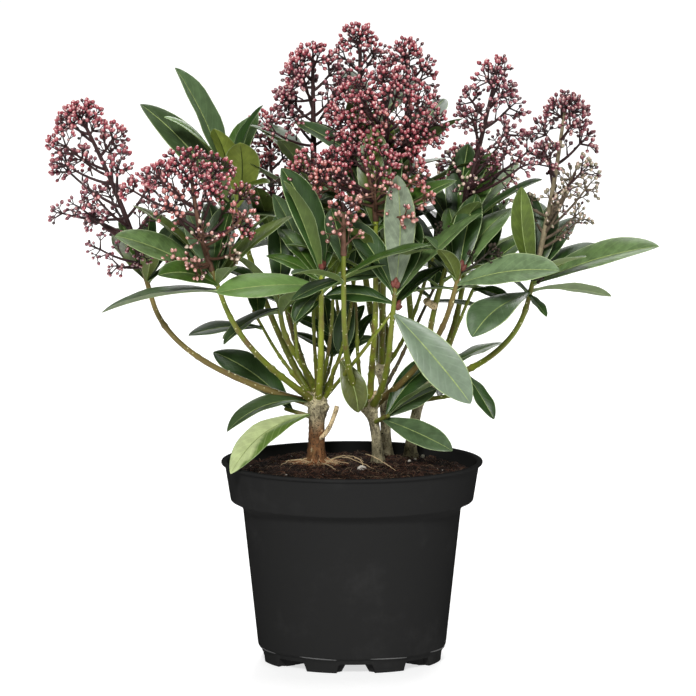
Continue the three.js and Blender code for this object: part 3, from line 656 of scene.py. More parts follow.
class Skin:
    """Closed surfaces gathered into one mesh. Each surface is a stack of rings between two poles."""

    def __init__(self):
        self.points, self.corners, self.sizes, self.slots, self.finishes = [], [], [], [], []
        self.marks = {}
        self.count = 0

    def slot_of(self, finish):
        """The slot of a finish, which is added when it is new."""
        if finish not in self.finishes:
            self.finishes.append(finish)
        return self.finishes.index(finish)

    def add(self, rings, poles, finishes, **marks):
        """Adds n surfaces. rings is (n, rings, sides, 3), poles is (n, 2, 3), finishes is one material or
        an array of slots (n, rings + 1, sides), and each mark is (n, rings, sides) for a point attribute."""
        n, r, s, _ = rings.shape
        if not n:
            return self
        points = np.concatenate([rings.reshape(n, r * s, 3), poles], axis=1)
        j = np.arange(s)
        beside = (j + 1) % s
        row = np.arange(r - 1)[:, None] * s
        quads = np.stack([row + j, row + beside, row + s + beside, row + s + j], -1).reshape(-1, 4)
        last = (r - 1) * s
        start = np.stack([np.full(s, r * s), beside, j], -1)
        end = np.stack([np.full(s, r * s + 1), last + j, last + beside], -1)
        wrong = self._inside_out(points, quads, start, end)
        offset = (self.count + np.arange(n) * (r * s + 2))[:, None, None]
        for faces in (start, quads, end):
            flipped = np.where(wrong[:, None, None], faces[None, :, ::-1], faces[None])
            self.corners.append((flipped + offset).reshape(-1))
            self.sizes.append(np.full(n * len(faces), faces.shape[1]))
        slots = finishes if isinstance(finishes, np.ndarray) else self.slot_of(finishes)
        slots = np.broadcast_to(slots, (n, r + 1, s))
        self.slots += [slots[:, 0].ravel(), slots[:, 1:-1].ravel(), slots[:, -1].ravel()]
        for name, value in marks.items():
            value = np.broadcast_to(value, (n, r, s))
            ends = np.stack([value[:, 0].mean(-1), value[:, -1].mean(-1)], -1)
            self.marks.setdefault(name, []).append(np.concatenate([value.reshape(n, -1), ends], 1).ravel())
        self.points.append(points.reshape(-1, 3))
        self.count += n * (r * s + 2)
        return self

    @staticmethod
    def _inside_out(points, quads, start, end):
        """Whether each surface's volume is negative, as the sum of p0 . (p1 x p2) over its triangles."""
        triangles = np.concatenate([quads[:, [0, 1, 2]], quads[:, [0, 2, 3]], start, end])
        a, b, c = (points[:, triangles[:, k]] - points[:, :1] for k in range(3))
        return np.einsum("nfi,nfi->n", a, np.cross(b, c)) < 0

    def build(self, name, slot, replaces=(), smooth_below=None):
        """The piece itself, riding on the plant's one body. Edges sharper than smooth_below stay sharp."""
        mesh = bpy.data.meshes.new(name)
        corners, sizes = np.concatenate(self.corners), np.concatenate(self.sizes)
        mesh.vertices.add(self.count)
        mesh.vertices.foreach_set("co", (np.concatenate(self.points) * MM).ravel())
        mesh.loops.add(len(corners))
        mesh.loops.foreach_set("vertex_index", corners)
        mesh.polygons.add(len(sizes))
        mesh.polygons.foreach_set("loop_start", np.append(0, np.cumsum(sizes)[:-1]))
        for finish in self.finishes:
            mesh.materials.append(bpy.data.materials[finish])
        mesh.polygons.foreach_set("material_index", np.concatenate(self.slots))
        for mark, values in self.marks.items():
            attribute = mesh.attributes.new(mark, "FLOAT", "POINT")
            attribute.data.foreach_set("value", np.concatenate(values))
        mesh.update(calc_edges=True)
        mesh.validate()
        mesh.shade_smooth()
        if smooth_below:
            mesh.set_sharp_from_angle(angle=math.radians(smooth_below))
        piece = bpy.data.objects.new(name, mesh)
        bpy.context.scene.collection.objects.link(piece)
        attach(piece, BODY)
        if replaces:
            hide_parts(*replaces)


def tubes(paths, radii, sides, cap=0.6, bent=0.05):
    """Tubes along paths (n, rings, 3): point = path + radius (a cos q + b sin q), where a is square to the
    path and to the side it bends round, and b to both. cap is how far each end bulges, in radii, and a path
    that bends by less than bent counts as straight."""
    paths, reach = np.asarray(paths, float), np.asarray(radii, float)
    if reach.ndim < 3:
        reach = np.broadcast_to(reach, paths.shape[:2])[..., None]
    along = unit(np.gradient(paths, axis=1))
    bend = np.cross(along[:, 0], along[:, -1])
    plain = across_of(unit(paths[:, -1] - paths[:, 0]))[0]
    size = np.linalg.norm(bend, axis=-1, keepdims=True)
    square = np.where(size > bent, bend / np.maximum(size, bent), plain)[:, None]
    b = unit(np.cross(along, square))
    a = np.cross(b, along)
    q = circle(sides)
    out = a[:, :, None] * np.cos(q)[:, None] + b[:, :, None] * np.sin(q)[:, None]
    ends = along * reach.mean(-1)[..., None] * cap
    poles = np.stack([paths[:, 0] - ends[:, 0], paths[:, -1] + ends[:, -1]], 1)
    return paths[:, :, None] + out * reach[..., None], poles


def beads(bases, ways, lengths, widths, sides=8, rings=5, skew=0.9, blunt=0.7, lobe=0.0, turn=0.0):
    """Egg shapes on their bases: radius = width / 2 * sin(pi t^skew)^blunt * (1 + lobe cos 4q), where t
    runs along the egg from its base."""
    t = (1 - np.cos(np.pi * np.arange(1, rings + 1) / (rings + 1))) / 2
    q = circle(sides)
    shape = (np.sin(np.pi * t**skew) ** blunt)[:, None] * (1 + lobe * np.cos(4 * q))
    first, second = across_of(ways, turn)
    out = first[:, None, None] * np.cos(q)[:, None] + second[:, None, None] * np.sin(q)[:, None]
    lengths, widths = (np.broadcast_to(v, len(bases))[:, None, None, None] for v in (lengths, widths))
    spine = ways[:, None, None] * t[:, None, None] * lengths
    grid = bases[:, None, None] + spine + out * shape[..., None] * widths / 2
    return grid, np.stack([bases, bases + ways * lengths[:, 0, 0]], 1), t


def waves(random, q, t, count=6, fine=5, long=9, swing=1.6):
    """A relief from about -1 to 1 round a tube: swing times the mean of count sines, each with its own
    whole number of turns round it, up to fine, and its own run along it, up to long."""
    total = 0
    for _ in range(count):
        total = total + np.sin(random.integers(1, fine + 1) * q + random.uniform(-long, long) * t * 2 * np.pi
                               + random.uniform(0, 2 * np.pi))
    return total / count * swing


# ---------------------------------------------------------------- materials


class Wire:
    """A number socket that can be reckoned with: each operator adds its Math node."""

    def __init__(self, shader, socket):
        self.shader, self.socket = shader, socket

    def maths(self, operation, *values):
        return self.shader.add("ShaderNodeMath", values, operation=operation)

    def __add__(self, other):
        return self.maths("ADD", self, other)

    def __sub__(self, other):
        return self.maths("SUBTRACT", self, other)

    def __rsub__(self, other):
        return self.maths("SUBTRACT", other, self)

    def __mul__(self, other):
        return self.maths("MULTIPLY", self, other)

    def __gt__(self, other):
        return self.maths("GREATER_THAN", self, other)

    __radd__, __rmul__ = __add__, __mul__

    def sine(self):
        return self.maths("SINE", self)

    def size(self):
        return self.maths("ABSOLUTE", self)

    def between(self, low, high):
        """0 at low and under it, 1 at high and over it, and a smooth step from one to the other."""
        inputs = {"Value": self, "From Min": low, "From Max": high}
        return self.shader.add("ShaderNodeMapRange", inputs, interpolation_type="SMOOTHSTEP")


class Shader:
    """One material's nodes."""

    def __init__(self, name):
        self.material = bpy.data.materials.new(name)
        self.material.use_nodes = True
        self.tree = self.material.node_tree
        self.surface = next(n for n in self.tree.nodes if n.type == "BSDF_PRINCIPLED")

    def add(self, kind, inputs=(), out=0, **settings):
        """A node of a kind: its settings are set first, then its inputs by name or in order."""
        node = self.tree.nodes.new(kind)
        for key, value in settings.items():
            setattr(node, key, value)
        for key, value in inputs.items() if isinstance(inputs, dict) else enumerate(inputs):
            self.feed(node.inputs[key], value)
        return Wire(self, node.outputs[out])

    def feed(self, socket, value):
        if isinstance(value, Wire):
            self.tree.links.new(value.socket, socket)
        elif socket.type == "RGBA" and len(value) == 3:
            socket.default_value = (*value, 1)
        else:
            socket.default_value = value

    def mark(self, name):
        return self.add("ShaderNodeAttribute", out="Fac", attribute_name=name)

    def noise(self, scale, detail=3.0, roughness=0.55, stretch=None):
        """Noise over the object's own coordinates, with scale in waves a metre, drawn out upwards."""
        place = self.add("ShaderNodeTexCoord", out="Object")
        if stretch:
            place = self.add("ShaderNodeMapping", {"Vector": place, "Scale": (1.0, 1.0, stretch)})
        inputs = {"Vector": place, "Scale": scale, "Detail": detail, "Roughness": roughness}
        return self.add("ShaderNodeTexNoise", inputs)

    def mix(self, share, a, b):
        return self.add("ShaderNodeMix", {0: share, 6: a, 7: b}, out=2, data_type="RGBA")

    def finish(self, tone, roughness, specular, height=None, depth=0.0, strength=1.0, **more):
        """Feeds the surface. The bump's depth is in millimetres, and more sockets have _ for a space."""
        sockets = {"Base_Color": tone, "Roughness": roughness, "Specular_IOR_Level": specular, **more}
        if height:
            inputs = {"Height": height, "Distance": depth * MM, "Strength": strength}
            sockets["Normal"] = self.add("ShaderNodeBump", inputs)
        for key, value in sockets.items():
            self.feed(self.surface.inputs[key.replace("_", " ")], value)
        return self.material


def shade(colour, factor):
    """A colour made lighter or darker by a factor."""
    return tuple(min(c * factor, 1.0) for c in colour)


def leaf_finish(name, colour, roughness, green=None):
    """A leathery blade: mottled colour, faint side veins slanting from the midrib, and a satin gloss. A
    fading blade keeps its green on one half and in clouds near the foot."""
    s = Shader(name)
    across, along = s.mark("across"), s.mark("along")
    veins = (along * 62 - across.size() * 15).sine().between(0.72, 1.0)
    mottle = s.noise(140, 4)
    tone = s.mix(mottle.between(0.35, 0.7), shade(colour, 0.75), shade(colour, 1.25))
    tone = s.mix(s.mark("tint"), tone, shade(colour, 1.6))
    if green:
        kept = across * 0.45 - along * 0.5 + s.noise(34, 4)
        tone = s.mix(kept.between(0.3, 0.55), tone, green)
    tone = s.mix(veins * 0.12, tone, shade(colour, 2.2))
    height = veins * -0.4 + s.noise(900, 2) * 0.3 + mottle * 0.8
    return s.finish(tone, mottle * 0.14 + (roughness - 0.07), 0.4, height, 0.25, 0.6)


def plain_finish(name, colour, roughness, scale=300, swing=0.25, depth=0.08):
    """A colour that noise makes a little lighter and darker, with a fine grain."""
    s = Shader(name)
    noise = s.noise(scale, 4)
    tone = s.mix(noise.between(0.3, 0.7), shade(colour, 1 - swing), shade(colour, 1 + swing))
    return s.finish(tone, noise * 0.2 + (roughness - 0.1), 0.25, s.noise(scale * 4, 2), depth, 0.6)


def bud_finish(name, colour):
    """A waxy bud, flushed in the middle: painted shade darkens its foot and a painted highlight pales its
    tip.
    """
    s = Shader(name)
    along = s.mark("along")
    # painted shade: the foot of each bud darkened to a fifth of its colour
    tone = s.mix(along.between(0.0, 0.55), shade(colour, 0.18), colour)
    # painted highlight: the tip paled towards a pinkish white
    pale = tuple(c + (p - c) * 0.68 for c, p in zip(colour, (0.95, 0.62, 0.56)))
    tone = s.mix(along.between(0.66, 1.0), tone, pale)
    tone = s.mix(s.noise(160, 2).between(0.42, 0.75) * 0.6, tone, shade(colour, 0.5))
    return s.finish(tone, 0.2, 1.0)


def bark_finish(name, colour, foot):
    """Old bark: pale flakes, long dark fissures, specks, pores and mould, paler above and browner below."""
    s = Shader(name)
    along = s.mark("along")
    flakes, fissures = s.noise(190, 6, 0.65, 0.6), s.noise(420, 4, 0.6, 0.25)
    pores, mould = s.noise(560, 1), s.noise(60, 4)
    base = s.mix((along + mould * 0.5 - 0.25).between(0.1, 0.45), foot, colour)
    tone = s.mix(flakes.between(0.42, 0.6), s.mix(0.5, base, (0.03, 0.022, 0.010)), base)
    for share, over in (
        (flakes.between(0.6, 0.72) * 0.8, shade(colour, 1.7)),
        (fissures.between(0.54, 0.64) * 0.45, (0.030, 0.022, 0.012)),
        (along.between(0.6, 0.74) * 0.45, shade(colour, 1.5)),
        (s.noise(820, 2).between(0.55, 0.62) * 0.6, (0.050, 0.038, 0.020)),
        (pores.between(0.66, 0.7), (0.018, 0.012, 0.008)),
        (mould.between(0.55, 0.75) * 0.5, (0.110, 0.120, 0.040)),
    ):
        tone = s.mix(share, tone, over)
    height = flakes * 0.8 - fissures.between(0.5, 0.7) * 0.8 - pores * 0.3
    return s.finish(tone, 0.82, 0.2, height, 1.2)


def stem_finish(name, colour):
    """Young bark: smooth, with brown streaks along it and small pale pores."""
    s = Shader(name)
    streaks, pores = s.noise(180, 4, stretch=0.3), s.noise(900, 1)
    tone = s.mix(streaks.between(0.4, 0.7), colour, (0.13, 0.085, 0.03))
    tone = s.mix(s.noise(30, 2).between(0.35, 0.65) * 0.6, tone, shade(colour, 1.5))
    tone = s.mix((pores > 0.72) * 0.4, tone, (0.40, 0.36, 0.18))
    return s.finish(tone, 0.5, 0.3, streaks * 0.6 + pores * 0.4, 0.25, 0.6)


def pot_finish(name, colour, roughness):
    """Moulded plastic: near black, with a fine grain, faint flow marks and dust that dulls it in places."""
    s = Shader(name)
    grain, dust, flow = s.noise(1800, 2), s.noise(22, 5, 0.65), s.noise(60, 3, stretch=0.12)
    tone = s.mix(dust.between(0.5, 0.8) * 0.5, colour, shade(colour, 1.9))
    matt = dust * 0.16 + flow * 0.06 + (roughness - 0.11)
    return s.finish(tone, matt, 0.0, grain * 0.7 + flow * 0.3, 0.05, 0.5)


def soil_finish(name, colour):
    """Moist peat: near black crumbs, with redder and paler ones among them."""
    s = Shader(name)
    crumbs = s.noise(420, 6, 0.7)
    tone = s.mix(crumbs.between(0.35, 0.7), shade(colour, 0.35), shade(colour, 1.6))
    tone = s.mix((s.noise(900, 3) > 0.62) * 0.6, tone, (0.085, 0.036, 0.02))
    return s.finish(tone, 0.95, 0.1, crumbs, 1.6)


# ---------------------------------------------------------------- pot

POT = Sizes(
    height=146.0, lip_radius=95.0, lip_thick=2.6, lip_fall=0.4, collar_top=92.4, collar_foot=88.2,
    collar_height=31.0, body_top=79.2, body_foot=68.4, floor=8.6, wall=1.8, sides=288)
FOOT = Sizes(radius=65.4, draft=0.8, top=7.6, bevel_top=11.0)
UNDER = Sizes(first=2.0, short=4.0, rings=44, outside=0.75)
SHOULDER = Sizes(foot=4.0, out=1.8, rise=1.0, edge=2.4)
CHANNEL = Sizes(
    count=8, height=6.4, mouth=19.9, roof=13.0, inner=24.0, end=1.5, turn=2.4, gate=57.0, gate_run=2.0,
    flare=3.5, steeper=0.7)
DRAIN = Sizes(radius=4.2, out=50.0, depth=1.9, edge=0.8)
ARC = Sizes(
    height=10.6, wave=0.5, waves=4, proud=0.5, sunk=0.25, first=9.0, last=33.0, points=24, end=0.15)


def rounded(points, radii, steps=5):
    """A line through points, with each corner cut back by its radius and bent round a parabola."""
    made = [points[:1]]
    for before, corner, after, radius in zip(points, points[1:], points[2:], radii):
        back, on = before - corner, after - corner
        reach = min(radius, 0.45 * np.linalg.norm(back), 0.45 * np.linalg.norm(on))
        ends = corner + unit(back) * reach, corner + unit(on) * reach
        made.append(bezier((ends[0], corner, ends[1]), np.linspace(0, 1, steps)))
    return np.concatenate([*made, points[-1:]])


def finely(points, step):
    """A line's points with others put in, so that none lie further than a step apart."""
    made = [points[:1]]
    for a, b in zip(points, points[1:]):
        count = max(1, math.ceil(np.linalg.norm(b - a) / step))
        made.append(a + (b - a) * np.linspace(0, 1, count + 1)[1:, None])
    return np.concatenate(made)


def pot_profile(spacing=9.0):
    """Radius and height from the underside's edge up the outside, over the lip and down the inside."""
    step, lip = POT.height - POT.collar_height, POT.height - POT.lip_thick
    wall, shelf = POT.wall, POT.body_top + SHOULDER.out
    corners = np.array([  # radius, height, and how far the corner is rounded
        (FOOT.radius - 3, 0, 0), (FOOT.radius, 0, 1.2), (FOOT.radius + FOOT.draft, FOOT.top, 1.5),
        (POT.body_foot, FOOT.bevel_top, 2), (POT.body_top, step - SHOULDER.foot, 1.2),
        (shelf, step - SHOULDER.rise, 1.2), (POT.collar_foot, step + SHOULDER.edge, 0.9),
        (POT.collar_top, lip, 0.8), (POT.lip_radius, lip + POT.lip_fall, 1.0),
        (POT.lip_radius, POT.height, 1.1), (POT.collar_top - wall, POT.height, 1.6),
        (POT.collar_foot - wall, step + SHOULDER.edge + 1.4, 1),
        (shelf - 0.4, step - SHOULDER.rise + wall, 1),
        (POT.body_top - wall, step - SHOULDER.foot + 1.2, 1),
        (POT.body_foot - wall - 0.4, POT.floor, 1), (POT.body_foot - 20, POT.floor, 0),
    ])
    return finely(rounded(corners[:, :2], corners[1:-1, 2]), spacing)


def channel_lift(radius, angle):
    """How far the underside is raised: height slope + depth hole, where slope rises evenly over the bank
    beside a channel, and hole over the edge of the drain hole in its roof."""
    pitch = 2 * np.pi / CHANNEL.count
    turn = (angle - np.radians(CHANNEL.turn - 90) + pitch / 2) % pitch - pitch / 2
    beside, out = radius * np.abs(np.sin(turn)), radius * np.cos(turn)
    gate = np.clip((out - CHANNEL.gate) / CHANNEL.gate_run, 0, 1)
    beside = beside - CHANNEL.flare * gate
    bank = (CHANNEL.mouth - CHANNEL.roof) / 2 * (1 - CHANNEL.steeper * gate)
    slope = np.clip((CHANNEL.mouth / 2 - beside) / bank, 0, 1)
    inside = np.clip((out - CHANNEL.inner) / CHANNEL.end, 0, 1)
    hole = np.clip((DRAIN.radius - np.hypot(beside, out - DRAIN.out)) / DRAIN.edge, 0, 1)
    return CHANNEL.height * slope * inside + DRAIN.depth * hole


def pot_surface():
    """The profile carried round the axis: point = (r cos q, r sin q, z + lift fade). The lift fades out
    up the foot, so that the channels open through its wall as notches."""
    under = np.linspace((UNDER.first, 0), (FOOT.radius - UNDER.short, 0), UNDER.rings)
    profile = np.concatenate([under, pot_profile()])
    angle = circle(POT.sides)
    radius, z = profile[:, :1], profile[:, 1:]
    outside = (np.arange(len(profile)) < len(profile) * UNDER.outside)[:, None]
    fade = np.clip(1 - z / FOOT.bevel_top, 0, 1) * outside
    rings = turned(radius, angle, z + channel_lift(radius, angle) * fade)
    return rings[None], np.array([[[0, 0, 0], [0, 0, POT.floor]]], float)


def seam_surfaces():
    """The fine ridges over the foot: an arc between neighbouring channels, at height + wave cos(4 sweep),
    whose radius thins out at its ends by a sine's root."""
    middle = CHANNEL.turn - 90 + np.arange(CHANNEL.count)[:, None] * 360 / CHANNEL.count
    sweep = np.linspace(ARC.first, ARC.last, ARC.points)
    lift = ARC.height + ARC.wave * np.cos(np.radians(sweep * ARC.waves))
    girth = ARC.proud * np.sin(np.linspace(ARC.end, np.pi - ARC.end, ARC.points)) ** 0.5
    return tubes(turned(POT.body_foot - ARC.sunk, np.radians(middle + sweep), lift), girth, 6)


# ---------------------------------------------------------------- soil

PEAT = Sizes(
    sides=300, rings=90, middle=0.0004, rough=0.45, shift=0.25, swells=9, swell=0.3, wave=0.09, fall=1.6,
    floor=9.0)
PEAT_SIDES = np.array([(85.5, 119.4), (79.4, 116.2), (76.0, 111.5), (65.0, PEAT.floor)])  # radius, height
CRUMB = Sizes(size=(0.6, 2.0), grit=(0.9, 2.4), sunk=0.3, margin=3)
FIBRE = Sizes(
    points=7, length=(2, 9), radius=(0.1, 0.26), tip=0.5, hump=(0.1, 2.2), curl=0.16, kink=0.05, margin=7)
ROOTS = Sizes(
    count=75, points=14, bearing=(140, 400), start=4.8, reach=19.0, near=0.15, spread=1.4, lean=0.5,
    high=(0.5, 7), settle=1.8, lift=0.3, curl=2.2, waves=(3, 9), rough=0.2, radius=0.42, girth=(0.45, 1),
    tip=0.4)
PALE = Sizes(points=18, rough=0.35, foot=0.4, tip=0.2)
GRAINS = (  # the large grains of perlite: place over the compost, and size
    ((7.2, -20.0, 1.4), 7.0), ((46.0, 30.0, 1.0), 3.2), ((52.0, 42.0, 1.2), 3.6), ((42.0, 22.0, 0.8), 3.0),
)
PALE_ROOTS = [  # long thin ones that lie over the compost
    ((-18, 8, 143), (-12, 2, 150), (2, -4, 151), (8, -6, 146)),
    ((-20, 6, 142), (-6, 4, 152), (-2, -4, 148), (16, -10, 141)),
    ((2, -4, 148), (6, -8, 149), (10, -6, 143), (6, -12, 141)),
    ((-30, 6, 143), (-40, -4, 149), (-46, 0, 146), (-54, 4, 140)),
    ((-22, 4, 143), (-14, -16, 144), (-10, -26, 143), (-12, -34, 139.5)),
    ((10, 2, 150), (20, -14, 150), (26, -8, 142), (34, -20, 140)),
]


def soil_height(x, y):
    """Height of the compost: top - (top - edge) f^1.6 + swells, where f goes from 0 at the end of the level
    crown to 1 at the rim, and each swell is a sine along its own way."""
    random = dice("swell")
    fall = np.clip((np.hypot(x, y) - SOIL.level) / (SOIL.edge_radius - SOIL.level), 0, 1)
    swell = 0
    for _ in range(PEAT.swells):
        kx, ky = random.normal(0, PEAT.wave, 2)
        swell = swell + np.sin(kx * x + ky * y + random.uniform(0, 6.3))
    return SOIL.top - (SOIL.top - SOIL.edge) * fall**PEAT.fall + swell * PEAT.swell


def soil_surface():
    """Rings of the compost from its middle to the wall, at radius = edge sqrt(share), shaken a little, and
    down the inside of the pot."""
    random = dice("soil")
    angle = circle(PEAT.sides)
    radius = np.sqrt(np.linspace(PEAT.middle, 1, PEAT.rings))[:, None] * SOIL.edge_radius
    x, y = radius * np.cos(angle), radius * np.sin(angle)
    loose = radius < SOIL.edge_radius - 1
    z = soil_height(x, y)
    z = z + random.normal(0, PEAT.rough, z.shape) * loose
    x = x + random.normal(0, PEAT.shift, z.shape) * loose
    sides = turned(PEAT_SIDES[:, :1], angle, PEAT_SIDES[:, 1:])
    rings = np.concatenate([np.stack([x, y, z], -1), sides])[None]
    return rings, np.array([[[0, 0, SOIL.top], [0, 0, PEAT.floor]]])


def scattered(random, count, reach):
    """Points strewn evenly over the compost, out to a reach."""
    radius, angle = reach * np.sqrt(random.uniform(0, 1, count)), random.uniform(0, 2 * np.pi, count)
    x, y = radius * np.cos(angle), radius * np.sin(angle)
    return np.stack([x, y, soil_height(x, y)], -1)


def lumps(random, places, sizes, flat=0.7, rough=0.22):
    """Crumbs: beads laid over at random, and point = middle + (point - middle) (1 + rough noise)."""
    ways = heading(random.uniform(0, 360, len(places)), random.uniform(-30, 30, len(places)))
    grid, poles, _ = beads(places - ways * sizes[:, None] / 2, ways, sizes, sizes * flat, 6, 3, 1.0, 0.6)
    middle = grid.mean(axis=(1, 2), keepdims=True)
    return middle + (grid - middle) * (1 + random.normal(0, rough, grid.shape[:3] + (1,))), poles


def strands(random, places, lengths):
    """Fibres that lie where they fell: point = place + way (t - 1/2) length + side bow 4 (t - t^2) + up
    hump 4 (t - t^2), with kinks to the side."""
    bearing = random.uniform(0, 360, len(places))
    way, side = heading(bearing, 0)[:, None], heading(bearing + 90, 0)[:, None]
    t = np.linspace(0, 1, FIBRE.points)[None, :, None]
    bow = random.normal(0, FIBRE.curl, len(places))[:, None, None] * lengths[:, None, None]
    hump = random.uniform(*FIBRE.hump, len(places))[:, None, None]
    arc = 4 * (t - t**2)
    kink = random.normal(0, FIBRE.kink, (len(places), FIBRE.points, 1)) * lengths[:, None, None]
    path = places[:, None] + way * (t - 0.5) * lengths[:, None, None] + side * (bow * arc + kink)
    return path + UP * (hump * arc + 0.1)


def strew(settings, random):
    """Crumbs, grains of perlite and fibres lying on the compost."""
    crumbs, grit, fibres = Skin(), Skin(), Skin()
    reach = SOIL.edge_radius - CRUMB.margin
    for finish, share in (("peat_crumb", 0.75), ("bark_crumb", 0.25)):
        count = int(settings.crumbs * share)
        sizes = random.uniform(*CRUMB.size, count)
        crumbs.add(*lumps(random, scattered(random, count, reach), sizes), finish)
    crumbs.build("crumbs", "soil")
    sizes = random.uniform(*CRUMB.grit, settings.grit)
    places = scattered(random, settings.grit, reach) + UP * CRUMB.sunk
    grit.add(*lumps(random, places, sizes), "perlite")
    large = np.array([place for place, _ in GRAINS]) + UP * SOIL.top
    grit.add(*lumps(random, large, np.array([size for _, size in GRAINS]), 0.85, 0.1), "perlite")
    grit.build("grit", "soil")
    for finish, share in (("fibre_red", 0.4), ("fibre_dark", 0.45), ("fibre_pale", 0.15)):
        count = int(settings.fibres * share)
        lengths = random.uniform(*FIBRE.length, count)
        paths = strands(random, scattered(random, count, SOIL.edge_radius - FIBRE.margin), lengths)
        radii = np.linspace(1, FIBRE.tip, FIBRE.points)[None] * random.uniform(*FIBRE.radius, (count, 1))
        fibres.add(*tubes(paths, radii, 3), finish)
    fibres.build("fibres", "soil")


def surface_roots(random):
    """Roots run out and down from the left trunk's foot: point = foot + out r t^1.4 + side (lean t^2 + curl)
    + up h (1 - t)^1.8. Some long pale ones cross the compost."""
    skin = Skin()
    foot = np.array([*TRUNKS["left"].foot, SOIL.top], float)
    count, points = ROOTS.count, ROOTS.points
    column = (count, 1, 1)
    t = np.linspace(0, 1, points)[None, :, None]
    for finish in ("root", "root_pale"):
        bearing = random.uniform(*ROOTS.bearing, count)
        out, side = heading(bearing, 0)[:, None], heading(bearing + 90, 0)[:, None]
        reach = random.uniform(ROOTS.near, 1, column) ** ROOTS.spread * ROOTS.reach
        lean = random.normal(0, ROOTS.lean, column) * reach
        high = random.uniform(*ROOTS.high, column)
        curl = np.sin(random.uniform(*ROOTS.waves, column) * t + random.uniform(0, 6, column))
        path = foot + out * (ROOTS.start + reach * t**ROOTS.spread)
        path = path + side * (lean * t**2 + ROOTS.curl * curl * t)
        rough = ROOTS.lift + random.normal(0, ROOTS.rough, (count, points, 1))
        path = path + UP * (high * (1 - t) ** ROOTS.settle + rough)
        radii = np.linspace(1, ROOTS.tip, points) * random.uniform(*ROOTS.girth, (count, 1)) * ROOTS.radius
        skin.add(*tubes(path, radii, 5), finish)
    t = np.linspace(0, 1, PALE.points)
    paths = np.array([bezier(line, t) for line in PALE_ROOTS])
    paths = paths + random.normal(0, PALE.rough, paths.shape) * t[None, :, None]
    skin.add(*tubes(paths, np.linspace(PALE.foot, PALE.tip, PALE.points), 6), "root_pale")
    skin.build("surface_roots", "bark")


# ---------------------------------------------------------------- wood

BARK = Sizes(
    rows=44, sides=30, taper=0.12, flare=0.45, flare_run=0.1, sunk=4, broad=0.06, fine=0.04, knobby=0.16,
    buttress=0.1, buttress_run=0.12)
KNOB = Sizes(rows=10, round=0.9, spread=0.9, first=0.12, last=0.96)
COLLAR = Sizes(start=0.4, end=1.22, vary=(0.94, 1.12), proud=1.24, rim=0.9, rows=12, rough=0.07)
BOUGH = Sizes(
    radius=2.5, taper=0.8, foot=1.3, foot_run=9, fine=0.62, sides=12, rows=64, bunch=1.15, rough=0.05,
    joints=7, joint=0.3, joint_run=1.5, lowest=0.12, highest=0.85)
TWIGLET = Sizes(foot=1.9, tip=1.5, rows=12)  # the stem of a whorl, and all there is of a sprig's
STUBS = [  # foot, bend, tip, radius: a cut shoot beside the left trunk, and pruned ends on knobs and limbs
    ((-24, 15, 159), (-16, 11, 164), (-11, 9, 184), 1.6),
    ((60, 11, 257), (57, 7, 259), (54, 3, 262), 2.6),
    ((13, 20, 184), (16, 15, 188), (18, 12, 194), 2.0),
    ((55, 50, 195), (50, 45, 202), (49, 43, 210), 2.8),
    ((-25, 17, 184), (-31, 12, 188), (-33, 10, 194), 2.0),
    ((22, 50, 205), (27, 46, 212), (28, 45, 219), 2.0),
]
STUB = Sizes(rows=14, foot=1.1, taper=0.1, swell=0.12, run=0.12, rough=0.1)
SCARS = Sizes(
    apart=5.625, fewest=3, lowest=0.12, highest=0.95, scatter=20, sunk=0.12, length=1.5, vary=(0.6, 1.2),
    width=1.1)
TIP_BUDS = ((0, 0, 8.5), (34, 40, 7.0), (30, 160, 6.5), (36, 280, 7.0))  # lean, turn and length
TIP_BUD = Sizes(sunk=1.0, width=0.62, skew=0.8, blunt=0.75)


def bark_surface(name, trunk):
    """A trunk: radius = r (1 - taper t + flare e^(-t / run)), swollen to the knob by a bell curve of the
    distance from it, closed by a dome, and roughened by waves round and along it."""
    random = dice(f"bark_{name}")
    fork, knob = np.array(trunk.fork, float), KNOB.round * trunk.knob
    path = trunk_line(trunk)(np.linspace(0, 1, BARK.rows))
    path[0] -= UP * BARK.sunk
    rise = np.linspace(KNOB.first, KNOB.last, KNOB.rows)
    path = np.concatenate([path, fork + unit(path[-1] - path[-2]) * rise[:, None] * knob])
    t = np.append(np.linspace(0, 1, BARK.rows), np.ones(KNOB.rows))
    radius = trunk.radius * (1 - BARK.taper * t + BARK.flare * np.exp(-t / BARK.flare_run))
    far = np.linalg.norm(path - fork, axis=1)
    swell = np.exp(-((far / (KNOB.spread * trunk.knob)) ** 2))
    radius = radius + (knob - radius) * swell
    radius[BARK.rows:] = knob * np.sqrt(1 - rise**2)
    q, run = around(BARK.sides, len(path))
    relief = BARK.broad * waves(random, q, run, 7, 5, 3) + BARK.fine * waves(random, q, run, 6, 11, 14)
    relief = relief + BARK.knobby * waves(random, q, run, 6, 7, 9) * swell[:, None]
    buttress = BARK.buttress * np.cos(random.integers(3, 6) * q + 1) * np.exp(-run / BARK.buttress_run)
    return tubes(path[None], (radius[:, None] * (1 + relief + buttress))[None], BARK.sides, 0.2)


def limb_radius(name, run, taper):
    """A limb's radius: stoutest at the knob, by e^(-run / foot_run), then falling evenly by the taper."""
    girth = BOUGH.fine if name in FINE_SHOOTS else 1.0
    return girth * (BOUGH.radius - taper * run / run[-1] + BOUGH.foot * np.exp(-run / BOUGH.foot_run))


